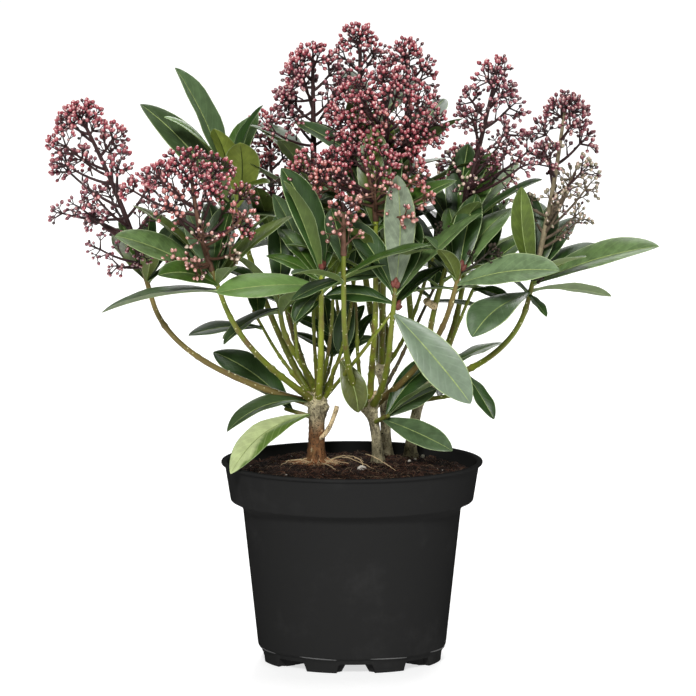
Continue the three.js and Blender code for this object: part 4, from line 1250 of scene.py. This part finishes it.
def collar_surface(name, shoot):
    """The ragged bark that grips a limb's foot: a tube on the limb's line, proud of it by a share that
    falls to nothing at the rim."""
    random = dice(f"collar_{name}")
    line, rows = limb_line(shoot), COLLAR.rows
    run = np.linspace(COLLAR.start, COLLAR.end, rows) * TRUNKS[shoot.trunk].knob
    run = run * random.uniform(*COLLAR.vary)
    radius = limb_radius(name, run, 0) * np.linspace(COLLAR.proud, 1.0, rows)
    radius[-1] *= COLLAR.rim
    relief = 1 + COLLAR.rough * waves(random, *around(BOUGH.sides, rows))
    return tubes(line(run / line.length)[None], (radius[:, None] * relief)[None], BOUGH.sides, 0)


def bough_surface(name, shoot):
    """A limb and the stem of its whorl in one run, with a small swelling at every joint, by e^-(d / run)^2
    of the distance from it."""
    random = dice(f"bough_{name}")
    foot, rise, bare, leafy = stem_of(shoot)
    path = foot + rise * np.linspace(0, bare + leafy, TWIGLET.rows)[:, None]
    radius = np.linspace(TWIGLET.foot, TWIGLET.tip, TWIGLET.rows)
    if not shoot.height:
        path = np.concatenate([limb_line(shoot)(np.linspace(0, 1, BOUGH.rows) ** BOUGH.bunch), path[1:]])
        run = run_of(path)
        joints = random.uniform(BOUGH.lowest, BOUGH.highest, BOUGH.joints) * run[-1]
        radius = limb_radius(name, run, BOUGH.taper)
        radius = radius + BOUGH.joint * np.exp(-(((run[:, None] - joints) / BOUGH.joint_run) ** 2)).sum(1)
    relief = 1 + BOUGH.rough * waves(random, *around(BOUGH.sides, len(path)), 4, 3, 5)
    return path, radius[:, None] * relief


def leaf_scars(name, path, radii):
    """Pale scars where old leaves fell: small flat beads half sunk in the bark, in a loose spiral."""
    random = dice(f"scar_{name}")
    count = max(SCARS.fewest, int(run_of(path)[-1] / SCARS.apart))
    at = random.uniform(SCARS.lowest, SCARS.highest, count)
    index = (at * (len(path) - 2)).astype(int)
    ways = unit(path[index + 1] - path[index])
    out = across_of(ways, np.arange(count) * GOLDEN + random.normal(0, SCARS.scatter, count))[0]
    middle = path[index] + out * (radii[index].mean(-1) - SCARS.sunk)[:, None]
    lengths = SCARS.length * random.uniform(*SCARS.vary, count)
    return beads(middle - ways * lengths[:, None] / 2, ways, lengths, SCARS.width, 6, 3)[:2]


def tip_buds(shoot):
    """The resting bud at a leafy shoot's end: a plump one and three half hidden round it."""
    foot, rise, bare, leafy = stem_of(shoot)
    lean, turn, lengths = np.array(TIP_BUDS, float).T
    tops = np.repeat((foot + rise * (bare + leafy - TIP_BUD.sunk))[None], len(lean), 0)
    ways = tilted(np.repeat(rise[None], len(lean), 0), lean, turn)
    return beads(tops, ways, lengths, lengths * TIP_BUD.width, 8, 5, TIP_BUD.skew, TIP_BUD.blunt)[:2]


def stub_surface(foot, bend, tip, radius):
    """A pruned end: a short bent tube, whose radius = r (1.1 - 0.1 t + swell e^-((1 - t) / run)^2)."""
    q, t = around(BOUGH.sides, STUB.rows)
    relief = 1 + STUB.rough * waves(dice("stub"), q, t, 5, 4, 3)
    girth = radius * (STUB.foot - STUB.taper * t + STUB.swell * np.exp(-(((1 - t) / STUB.run) ** 2)))
    return tubes(bezier((foot, bend, tip), t[:, 0])[None], (girth * relief)[None], BOUGH.sides, 0.15)


# ---------------------------------------------------------------- leaves

TOP = np.array([-1, -0.95, -0.68, -0.36, -0.03, 0, 0.03, 0.36, 0.68, 0.95, 1])
RING = np.append(TOP, TOP[-2:0:-1])  # across the upper side, and back across the underside
UPPER = np.append(np.ones(len(TOP)), -np.ones(len(TOP) - 2))
RIBS, MARGINS = (4, 5, 14, 15), (0, 9, 10, 19)  # the ring's columns of faces on the midrib and the margin
U = (1 - np.cos(np.pi * np.arange(20) / 20)) / 2  # the rings' shares of the way from root to tip
VARY = Sizes(  # what is drawn for each leaf, between two values
    twist=(-16, 16), width=(0.94, 1.12), bow=(-0.045, 0.045), fold=(0.45, 1.1), waves=(1.6, 3.0),
    ripple=(0.3, 1.0), tint=(0, 0.5))
RIB = Sizes(width=0.7, groove=0.25, keel=0.75, stalk=0.95, stalk_run=0.07, untwisted=0.3, edge=0.999)


def leaf_surfaces(leaves, settings, random):
    """Blades over the midribs m: point = m + side w s + normal h, with w the half width and s across it.
    h = w (|s| tan fold + cup sin pi |s|) + ripple s^2 sin(run along it) + half the thickness on the upper
    side or less it on the underside, where the midrib stands proud and a groove lies over it."""

    def draw(low, high):
        return random.uniform(low, high, (len(leaves), 1))

    length, broad = (column[:, None] for column in columns(leaves, "length broad"))
    points, along = midribs(leaves, U)
    side = blade_sides(leaves, along, np.radians(draw(*VARY.twist)) * (U - RIB.untwisted))
    normal = np.cross(along, side)
    wide = (half_width(length, U) * draw(*VARY.width) * broad)[..., None]
    points = points + side * (length * draw(*VARY.bow) * np.sin(np.pi * U))[..., None]
    s, u = RING[None, None], U[None, :, None]
    fold = np.tan(np.radians(LEAF.fold * draw(*VARY.fold)))[..., None]
    h = wide * (np.abs(s) * fold + settings.cup * np.sin(np.pi * np.abs(s)))
    run = 2 * np.pi * (draw(*VARY.waves)[..., None] * u + draw(0, 1)[..., None])
    run = run + np.sign(s) * draw(0, 2)[..., None]
    ripple = settings.ripple / MM * draw(*VARY.ripple)[..., None]
    h = h + ripple * s**2 * np.sin(run) * np.sin(np.pi * u)
    stalk = RIB.stalk * np.exp(-((u / RIB.stalk_run) ** 2))
    thick = (settings.thickness / MM / 2 + stalk) * np.sqrt(1 - s**2 * RIB.edge)
    rib = np.exp(-((s * wide / RIB.width) ** 2)) * (1 - u)
    h = h + UPPER * thick - rib * np.where(UPPER > 0, RIB.groove, RIB.keel)
    grid = points[:, :, None] + side[:, :, None] * (wide * s)[..., None] + normal[:, :, None] * h[..., None]
    tips = midribs(leaves, np.array([1.0]))[0][:, 0]
    marks = {"across": s, "along": u, "tint": draw(*VARY.tint)[..., None]}
    return grid, np.stack([points[:, 0], tips], 1), marks


def leaf_slots(skin, leaves):
    """Which finish each face of each blade takes: the tone's two sides, the midrib or the margin."""
    column = np.arange(len(RING))
    slots = []
    for leaf in leaves:
        top, under = skin.slot_of(f"leaf_{leaf.tone}"), skin.slot_of(f"leaf_{leaf.tone}_under")
        row = np.where(column < len(TOP) - 1, top, under)
        rib = skin.slot_of("leaf_rib_dark" if leaf.tone == "round" else "leaf_rib")
        row = np.where(np.isin(column, RIBS), rib, row)
        slots.append(np.where(np.isin(column, MARGINS), skin.slot_of("leaf_margin"), row))
    return np.repeat(np.array(slots)[:, None], len(U) + 1, axis=1)


# ---------------------------------------------------------------- panicles

AXIS = Sizes(foot=2.3, tip=1.2, points=26)
TWIG = Sizes(foot=1.25, tip=0.8, bow=0.06, long=16)
ARMS = Sizes(lean=56.0, reach=(5.5, 9.5), foot=0.72, tip=0.5)
PEDICEL = Sizes(lean=42.0, reach=(3.6, 6.6), foot=0.36, tip=0.46)
SPRAY = Sizes(places=(0.45, 0.75), lean=52.0, reach=(5.0, 9.0), buds=3)
FORK = Sizes(straight=0.8, scatter=18, sway=11, upright=(0, 14))
BUD = Sizes(
    light=0.25, vary=(0.86, 1.12), dark=0.8, low=0.8, climb=0.5, mixed=0.25, skew=0.88, blunt=0.72,
    lobe=0.04)
LOOSE = ("centre_low",)  # panicles with fewer buds than their levels ask for
DENSITY = ((0.0, 0.35, 4, 3), (0.35, 0.7, 5, 4), (0.7, 1.1, 6, 4))  # levels, arms of a head, buds of an arm


def bowed(starts, ends, rings, bow):
    """Straight lines with a sag: point = start + (end - start) t - up bow length 4 (t - t^2)."""
    t = np.linspace(0, 1, rings)[None, :, None]
    run = (ends - starts)[:, None]
    far = np.linalg.norm(run, axis=-1, keepdims=True)
    return starts[:, None] + run * t - UP * bow * far * 4 * (t - t**2)


class Cyme:
    """The forking stalks and the buds of one panicle, gathered level by level."""

    def __init__(self, name, settings):
        self.name, self.settings = name, settings
        self.random = dice(f"cyme_{name}")
        self.stalks, self.buds = Skin(), Skin()
        self.axis_finish, self.low_finish, self.change = STALKS.get(name, ("dusk", "dusk", 0))
        self.finish = "stalk_dusk"
        self.tones = BUD_TONES[name]

    def stalk(self, starts, ends, size, rings, sides, bow=0.0):
        """Stalks whose radius falls evenly from their size's foot to its tip."""
        radii = np.linspace(size.foot, size.tip, rings)
        self.stalks.add(*tubes(bowed(starts, ends, rings, bow), radii, sides), self.finish)

    def fork(self, starts, ways, sizes, levels, form, count, straight):
        """From each start, count arms lean over and fan out evenly, the first one straight if asked."""
        n = len(starts)
        shorten = np.ones((n, count))
        shorten[:, :straight] = FORK.straight
        turns = np.arange(count) * 360 / max(1, count - straight) + self.random.uniform(0, 360, (n, 1))
        turns = turns + self.random.normal(0, FORK.scatter, (n, count))
        leans = form.lean + self.random.normal(0, FORK.sway, (n, count))
        if straight:
            leans[:, 0] = self.random.uniform(*FORK.upright, n)
        arms = tilted(np.repeat(ways[:, None], count, 1), leans, turns).reshape(-1, 3)
        sizes, levels = np.repeat(sizes, count), np.repeat(levels, count)
        reach = self.random.uniform(*form.reach, len(arms)) * sizes * shorten.ravel()
        starts = np.repeat(starts, count, 0)
        return starts, starts + arms * reach[:, None], arms, sizes, levels

    def bud_on(self, ends, ways, levels):
        """Buds set on the stalks' ends and turned a little to the light, each in the tone of its level."""
        draw, n = self.random.uniform, len(ends)
        ways = unit(ways + UP * BUD.light)
        dark = draw(0, 1, n) < DARK_BUDS
        lengths = self.settings.bud_length / MM * draw(*BUD.vary, n) * np.where(dark, BUD.dark, 1)
        lengths = lengths * np.clip(BUD.low + BUD.climb * levels, BUD.low, 1)
        widths = lengths * self.settings.bud_width / self.settings.bud_length
        place = levels * len(self.tones) + self.random.normal(0, BUD.mixed, n)
        tone = np.clip(place.astype(int), 0, len(self.tones) - 1)
        slots = np.array([self.buds.slot_of(f"bud_{t}") for t in self.tones])[tone]
        if self.name != "dried":
            slots = np.where(dark, self.buds.slot_of("bud_dark"), slots)
        form = BUD.skew, BUD.blunt, BUD.lobe, draw(0, 360, n)
        grid, poles, t = beads(ends, ways, lengths, widths, 8, 4, *form)
        self.buds.add(grid, poles, slots[:, None, None], along=t[:, None])

    def spray(self, starts, ends, ways, sizes, levels, count):
        """An arm with its pedicels and their buds: one straight on and the others round it."""
        self.stalk(starts, ends, ARMS, 3, 4)
        feet, tips, ways, _, levels = self.fork(ends, ways, sizes, levels, PEDICEL, count, 1)
        self.stalk(feet, tips, PEDICEL, 2, 3)
        self.bud_on(tips, ways, levels)

    def head(self, heads, arms, buds):
        """Like heads at once: a branch from the axis, the arms from its end, and side sprays on a long
        branch."""
        starts, feet, ways, sizes, levels = columns(heads, "start foot way size level")
        self.finish = f"stalk_{self.low_finish if levels.max() < self.change else 'dusk'}"
        self.stalk(starts, feet, TWIG, 7, 6, TWIG.bow)
        self.spray(*self.fork(feet, ways, sizes, levels, ARMS, arms, 1), buds)
        far = np.linalg.norm(feet - starts, axis=1) > TWIG.long
        for place in SPRAY.places:
            at = (starts + (feet - starts) * place)[far]
            self.spray(*self.fork(at, ways[far], sizes[far], levels[far], SPRAY, 1, 0), SPRAY.buds)

    def build(self, nodes=()):
        """The panicle's two pieces."""
        self.stalks.build(f"stalks_{self.name}", "stem", nodes)
        self.buds.build(f"bloom_{self.name}", "bud", nodes)


# ---------------------------------------------------------------- settings


def colour(name, default, description):
    """A colour's property."""
    return FloatVectorProperty(name=name, description=description, default=default, size=3,
                               subtype="COLOR", min=0, max=1)


def distance(name, default, description):
    """A length's property, in metres."""
    return FloatProperty(name=name, description=description, default=default, unit="LENGTH", min=0)


def share(name, default, description):
    """A property from 0 to 1."""
    return FloatProperty(name=name, description=description, default=default, subtype="FACTOR", min=0, max=1)


def amount(name, default, description, kind=IntProperty, **more):
    """A number's property: a count, or another kind with its unit."""
    return kind(name=name, description=description, default=default, min=0, **more)


class PotSettings(bpy.types.PropertyGroup):
    tint: colour("Colour", (0.0170, 0.0170, 0.0168), "Colour of the moulded plastic")
    roughness: share("Roughness", 0.52, "How matt the plastic is")


class SoilSettings(bpy.types.PropertyGroup):
    tint: colour("Colour", (0.013, 0.0075, 0.005), "Colour of the moist peat")
    fibres: amount("Fibres", 2200, "Red-brown fibres on the compost")
    crumbs: amount("Crumbs", 2200, "Loose crumbs of peat and bark")
    grit: amount("Grit", 16, "White grains of perlite")


class WoodSettings(bpy.types.PropertyGroup):
    tint: colour("Bark", (0.540, 0.480, 0.300), "Colour of the old bark")
    tip_bud: colour("Tip buds", (0.150, 0.045, 0.034), "Colour of the resting buds at leafy tips")


class LeafSettings(bpy.types.PropertyGroup):
    thickness: distance("Thickness", 0.0005, "Thickness of a blade beside its midrib")
    ripple: distance("Ripple", 0.0009, "How far a margin waves up and down")
    cup: share("Cup", 0.08, "How much each half of a blade arches")
    roughness: share("Roughness", 0.4, "How matt the upper side is")


class BudSettings(bpy.types.PropertyGroup):
    bud_length: distance("Bud length", 0.0040, "Length of one unopened bud")
    bud_width: distance("Bud width", 0.0032, "Width of one unopened bud")


class StageSettings(bpy.types.PropertyGroup):
    floor: colour("Floor", (0.45, 0.45, 0.45), "Colour of the floor")
    glow: share("Floor glow", 0.66, "How brightly the floor is lit from below")
    key: amount("Key light", 118, "Power of the large front light", FloatProperty, unit="POWER")
    away: distance("Camera distance", 5.0, "How far the camera stands in front of the pot's axis")
    height: distance("Camera height", 0.902, "How high the camera stands")
    lens: amount("Focal length", 359.9, "Focal length in millimetres", FloatProperty, unit="CAMERA")


class SkimmiaSettings(bpy.types.PropertyGroup):
    pot: PointerProperty(type=PotSettings)
    soil: PointerProperty(type=SoilSettings)
    wood: PointerProperty(type=WoodSettings)
    leaf: PointerProperty(type=LeafSettings)
    bud: PointerProperty(type=BudSettings)
    stage: PointerProperty(type=StageSettings)


# ---------------------------------------------------------------- operators


class SKIMMIA_OT_pot(bpy.types.Operator):
    """Turns the pot with its collar, lip and drainage channels"""

    bl_idname = "skimmia.pot"
    bl_label = "Pot"

    def execute(self, context):
        settings = context.scene.skimmia.pot
        pot_finish("pot_plastic", tuple(settings.tint), settings.roughness)
        # the seams take the pot's plastic six times lighter: a painted highlight along their ridges
        pot_finish("seam_plastic", shade(settings.tint, 6), 0.3)
        Skin().add(*pot_surface(), "pot_plastic").build("nursery_pot", "pot", ["pot"], smooth_below=40)
        Skin().add(*seam_surfaces(), "seam_plastic").build("pot_seams", "pot")
        return {"FINISHED"}


class SKIMMIA_OT_soil(bpy.types.Operator):
    """Fills the pot with compost, and strews crumbs, fibres, grit and roots on it"""

    bl_idname = "skimmia.soil"
    bl_label = "Compost"

    def execute(self, context):
        settings = context.scene.skimmia.soil
        random = dice("strewn")
        soil_finish("peat", tuple(settings.tint))
        for name, finish in SOIL_FINISHES.items():
            plain_finish(name, *finish)
        Skin().add(*soil_surface(), "peat").build("compost", "soil", ["soil"])
        strew(settings, random)
        surface_roots(random)
        return {"FINISHED"}


class SKIMMIA_OT_wood(bpy.types.Operator):
    """Grows the trunks from the compost, and the limbs from their knobs to the tips of the whorls"""

    bl_idname = "skimmia.wood"
    bl_label = "Trunks and limbs"

    def execute(self, context):
        settings = context.scene.skimmia.wood
        for name, (tint, foot) in BARK_FINISHES.items():
            bark_finish(name, tint or tuple(settings.tint), foot)
        plain_finish("scar", (0.600, 0.580, 0.330), 0.6)
        plain_finish("tip_bud", tuple(settings.tip_bud), 0.5)
        for tone, tint in STEM_COLOURS.items():
            stem_finish(f"stem_{tone}", tint)
        for name, trunk in TRUNKS.items():
            self.trunk(name, trunk)
        for name, shoot in {**WHORLS, **FINE_SHOOTS}.items():
            self.bough(name, shoot)
        stubs = Skin()
        for stub in STUBS:
            stubs.add(*stub_surface(*stub), "bark_cut", along=1.0)
        stubs.build("cut_stubs", "bark")
        return {"FINISHED"}

    @staticmethod
    def trunk(name, trunk):
        """The left trunk keeps its root colour higher up than the others."""
        finish, reach, bend = ("bark_rooted", 0.8, 2) if name == "left" else ("bark_grey", 1.0, 1)
        rings, poles = bark_surface(name, trunk)
        rise = np.linspace(0, 1, rings.shape[1])[None, :, None]
        skin = Skin().add(rings, poles, finish, along=reach * rise**bend)
        for limb, shoot in LIMBS.items():
            if shoot.trunk == name:
                skin.add(*collar_surface(limb, shoot), finish, along=reach)
        skin.build(f"bark_{name}", "bark", [f"trunk_{name}"])

    @staticmethod
    def bough(name, shoot):
        """A limb with its scars, and resting buds where a limb of the solids carries no panicle."""
        path, radii = bough_surface(name, shoot)
        skin = Skin().add(*tubes(path[None], radii[None], BOUGH.sides), f"stem_{STEMS.get(name, 'green')}")
        skin.add(*leaf_scars(name, path, radii), "scar")
        if name in BUDDED or name in SHOOTS and not shoot.panicle:
            skin.add(*tip_buds(shoot), "tip_bud")
        skin.build(f"bough_{name}", "stem", [f"limb_{name}"] if name in SHOOTS else [])


class SKIMMIA_OT_leaves(bpy.types.Operator):
    """Opens every whorl's leaves along its stem"""

    bl_idname = "skimmia.leaves"
    bl_label = "Leaves"

    def execute(self, context):
        settings = context.scene.skimmia.leaf
        for tone, (upper, under) in LEAF_COLOURS.items():
            patch = PATCH_COLOUR if tone == "fading" else None
            leaf_finish(f"leaf_{tone}", upper, settings.roughness, patch)
            leaf_finish(f"leaf_{tone}_under", under, settings.roughness + 0.2)
        for name, finish in LEAF_EDGES.items():
            plain_finish(name, *finish)
        for name, shoot in WHORLS.items():
            self.foliage(name, all_leaves(name, shoot), settings, [f"leaves_{name}"])
        for name, shoot in FINE_SHOOTS.items():
            self.foliage(name, [seated(shoot, *leaf) for leaf in shoot.leaves], settings, [])
        return {"FINISHED"}

    @staticmethod
    def foliage(name, leaves, settings, nodes):
        """A whorl's blades as one piece."""
        if leaves:
            grid, poles, marks = leaf_surfaces(leaves, settings, dice(f"leaf_{name}"))
            skin = Skin()
            skin.add(grid, poles, leaf_slots(skin, leaves), **marks)
            skin.build(f"foliage_{name}", "leaf", nodes, smooth_below=70)


class SKIMMIA_OT_panicles(bpy.types.Operator):
    """Branches every panicle from its axis and sets the buds on its pedicels"""

    bl_idname = "skimmia.panicles"
    bl_label = "Panicles"

    def execute(self, context):
        settings = context.scene.skimmia.bud
        for tone, tint in BUD_COLOURS.items():
            bud_finish(f"bud_{tone}", tint)
        plain_finish("bud_dried", (0.034, 0.024, 0.016), 0.6)
        for tone, tint in STALK_COLOURS.items():
            plain_finish(f"stalk_{tone}", tint, 0.6)
        for name, shoot in SHOOTS.items():
            if shoot.panicle:
                self.panicle(name, shoot, settings)
        dried = Cyme("dried", settings)
        dried.head([head_on(*np.array(ends, float), size, 0.0, 0.0) for *ends, size in DRIED], 4, 3)
        dried.build()
        return {"FINISHED"}

    @staticmethod
    def panicle(name, shoot, settings):
        """The axis, then the heads of each band of levels, which fork more the higher they are."""
        line = axis_line(shoot)
        cyme = Cyme(name, settings)
        share = np.linspace(0, 1 - HEAD.rise / line.length, AXIS.points)
        radii = np.linspace(AXIS.foot, AXIS.tip, AXIS.points)
        cyme.stalks.add(*tubes(line(share)[None], radii, 8), f"stalk_{cyme.axis_finish}")
        heads = grown_heads(name, shoot, line)
        fewer = name in LOOSE
        for low, high, arms, buds in DENSITY:
            alike = [head for head in heads if low <= head.level < high]
            if alike:
                cyme.head(alike, arms - fewer, buds - fewer)
        cyme.build([f"buds_{name}"])


class SKIMMIA_OT_stage(bpy.types.Operator):
    """Lays the floor, and sets the lights and the camera"""

    bl_idname = "skimmia.stage"
    bl_label = "Stage"

    LIGHTS = [  # name, place, aim, power as a share of the key, size in metres
        ("key", (-0.4, -3.1, 2.0), (0, 0, 0.25), 1.0, 0.7),
        ("fill", (1.9, -2.2, 1.2), (0, 0, 0.25), 0.12, 1.6),
        ("top", (0.1, 0.5, 2.6), (0, 0, 0.25), 0.35, 1.4),
        ("back", (0.5, 2.8, 1.5), (0, 0, 0.3), 0.2, 1.4),
        ("backdrop", (0, 4.0, 3.2), (0, 4.6, 0), 1.35, 3.6),
    ]
    SKY = 0.05  # how bright the even light from all round is
    ASIDE, DOWN = -0.0029, 7.677  # how far the camera stands to the side, and how many degrees it looks down
    FLOOR = 12.0  # half the floor's breadth

    def execute(self, context):
        settings = context.scene.skimmia.stage
        self.floor(settings)
        for name, place, aim, share, size in self.LIGHTS:
            light = bpy.data.lights.new(name, "AREA")
            light.energy, light.size = settings.key * share, size
            lamp = self.stand(name, light, place)
            lamp.rotation_euler = (Vector(aim) - lamp.location).to_track_quat("-Z", "Y").to_euler()
        world = bpy.data.worlds.new("studio")
        world.use_nodes = True
        sky = world.node_tree.nodes["Background"]
        sky.inputs["Color"].default_value = (1.0, 1.0, 1.0, 1)
        sky.inputs["Strength"].default_value = self.SKY
        context.scene.world = world
        camera = bpy.data.cameras.new("camera")
        camera.lens, camera.sensor_width, camera.clip_end = settings.lens, 36, 100
        context.scene.camera = self.stand("camera", camera, (self.ASIDE, -settings.away, settings.height))
        context.scene.camera.rotation_euler = (math.radians(90 - self.DOWN), 0, 0)
        context.scene.view_settings.view_transform = "Standard"
        return {"FINISHED"}

    @staticmethod
    def stand(name, data, place=(0, 0, 0)):
        """An object that holds some data, set at a place in the scene."""
        item = bpy.data.objects.new(name, data)
        item.location = place
        bpy.context.scene.collection.objects.link(item)
        return item

    def floor(self, settings):
        """A level square that glows, so that it shows as white as the backdrop."""
        glow = {"Emission_Color": (1.0, 1.0, 1.0), "Emission_Strength": settings.glow}
        corners = [(x * self.FLOOR, y * self.FLOOR, 0) for x, y in ((-1, -1), (1, -1), (1, 1), (-1, 1))]
        mesh = bpy.data.meshes.new("floor")
        mesh.from_pydata(corners, [], [(0, 1, 2, 3)])
        mesh.materials.append(Shader("floor").finish(tuple(settings.floor), 0.7, 0.5, **glow))
        self.stand("floor", mesh)


class VIEW3D_PT_skimmia(bpy.types.Panel):
    """The plant's settings and the steps that make it"""

    bl_label = "Skimmia"
    bl_space_type = "VIEW_3D"
    bl_region_type = "UI"
    bl_category = "Skimmia"

    def draw(self, context):
        for key, operator in PARTS:
            box = self.layout.box()
            group = getattr(context.scene.skimmia, key)
            for name in group.__annotations__:
                box.prop(group, name)
            box.operator(operator.bl_idname)


PARTS = [
    ("pot", SKIMMIA_OT_pot),
    ("soil", SKIMMIA_OT_soil),
    ("wood", SKIMMIA_OT_wood),
    ("leaf", SKIMMIA_OT_leaves),
    ("bud", SKIMMIA_OT_panicles),
    ("stage", SKIMMIA_OT_stage),
]
CLASSES = [
    PotSettings, SoilSettings, WoodSettings, LeafSettings, BudSettings, StageSettings, SkimmiaSettings,
    *(operator for _, operator in PARTS), VIEW3D_PT_skimmia,
]


def register():
    for each in CLASSES:
        bpy.utils.register_class(each)
    bpy.types.Scene.skimmia = PointerProperty(type=SkimmiaSettings)


def unregister():
    del bpy.types.Scene.skimmia
    for each in reversed(CLASSES):
        bpy.utils.unregister_class(each)


def main():
    """Registers the add-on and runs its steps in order."""
    register()
    bpy.ops.skimmia.pot()
    bpy.ops.skimmia.soil()
    bpy.ops.skimmia.wood()
    bpy.ops.skimmia.leaves()
    bpy.ops.skimmia.panicles()
    bpy.ops.skimmia.stage()


if __name__ == "__main__":
    main()
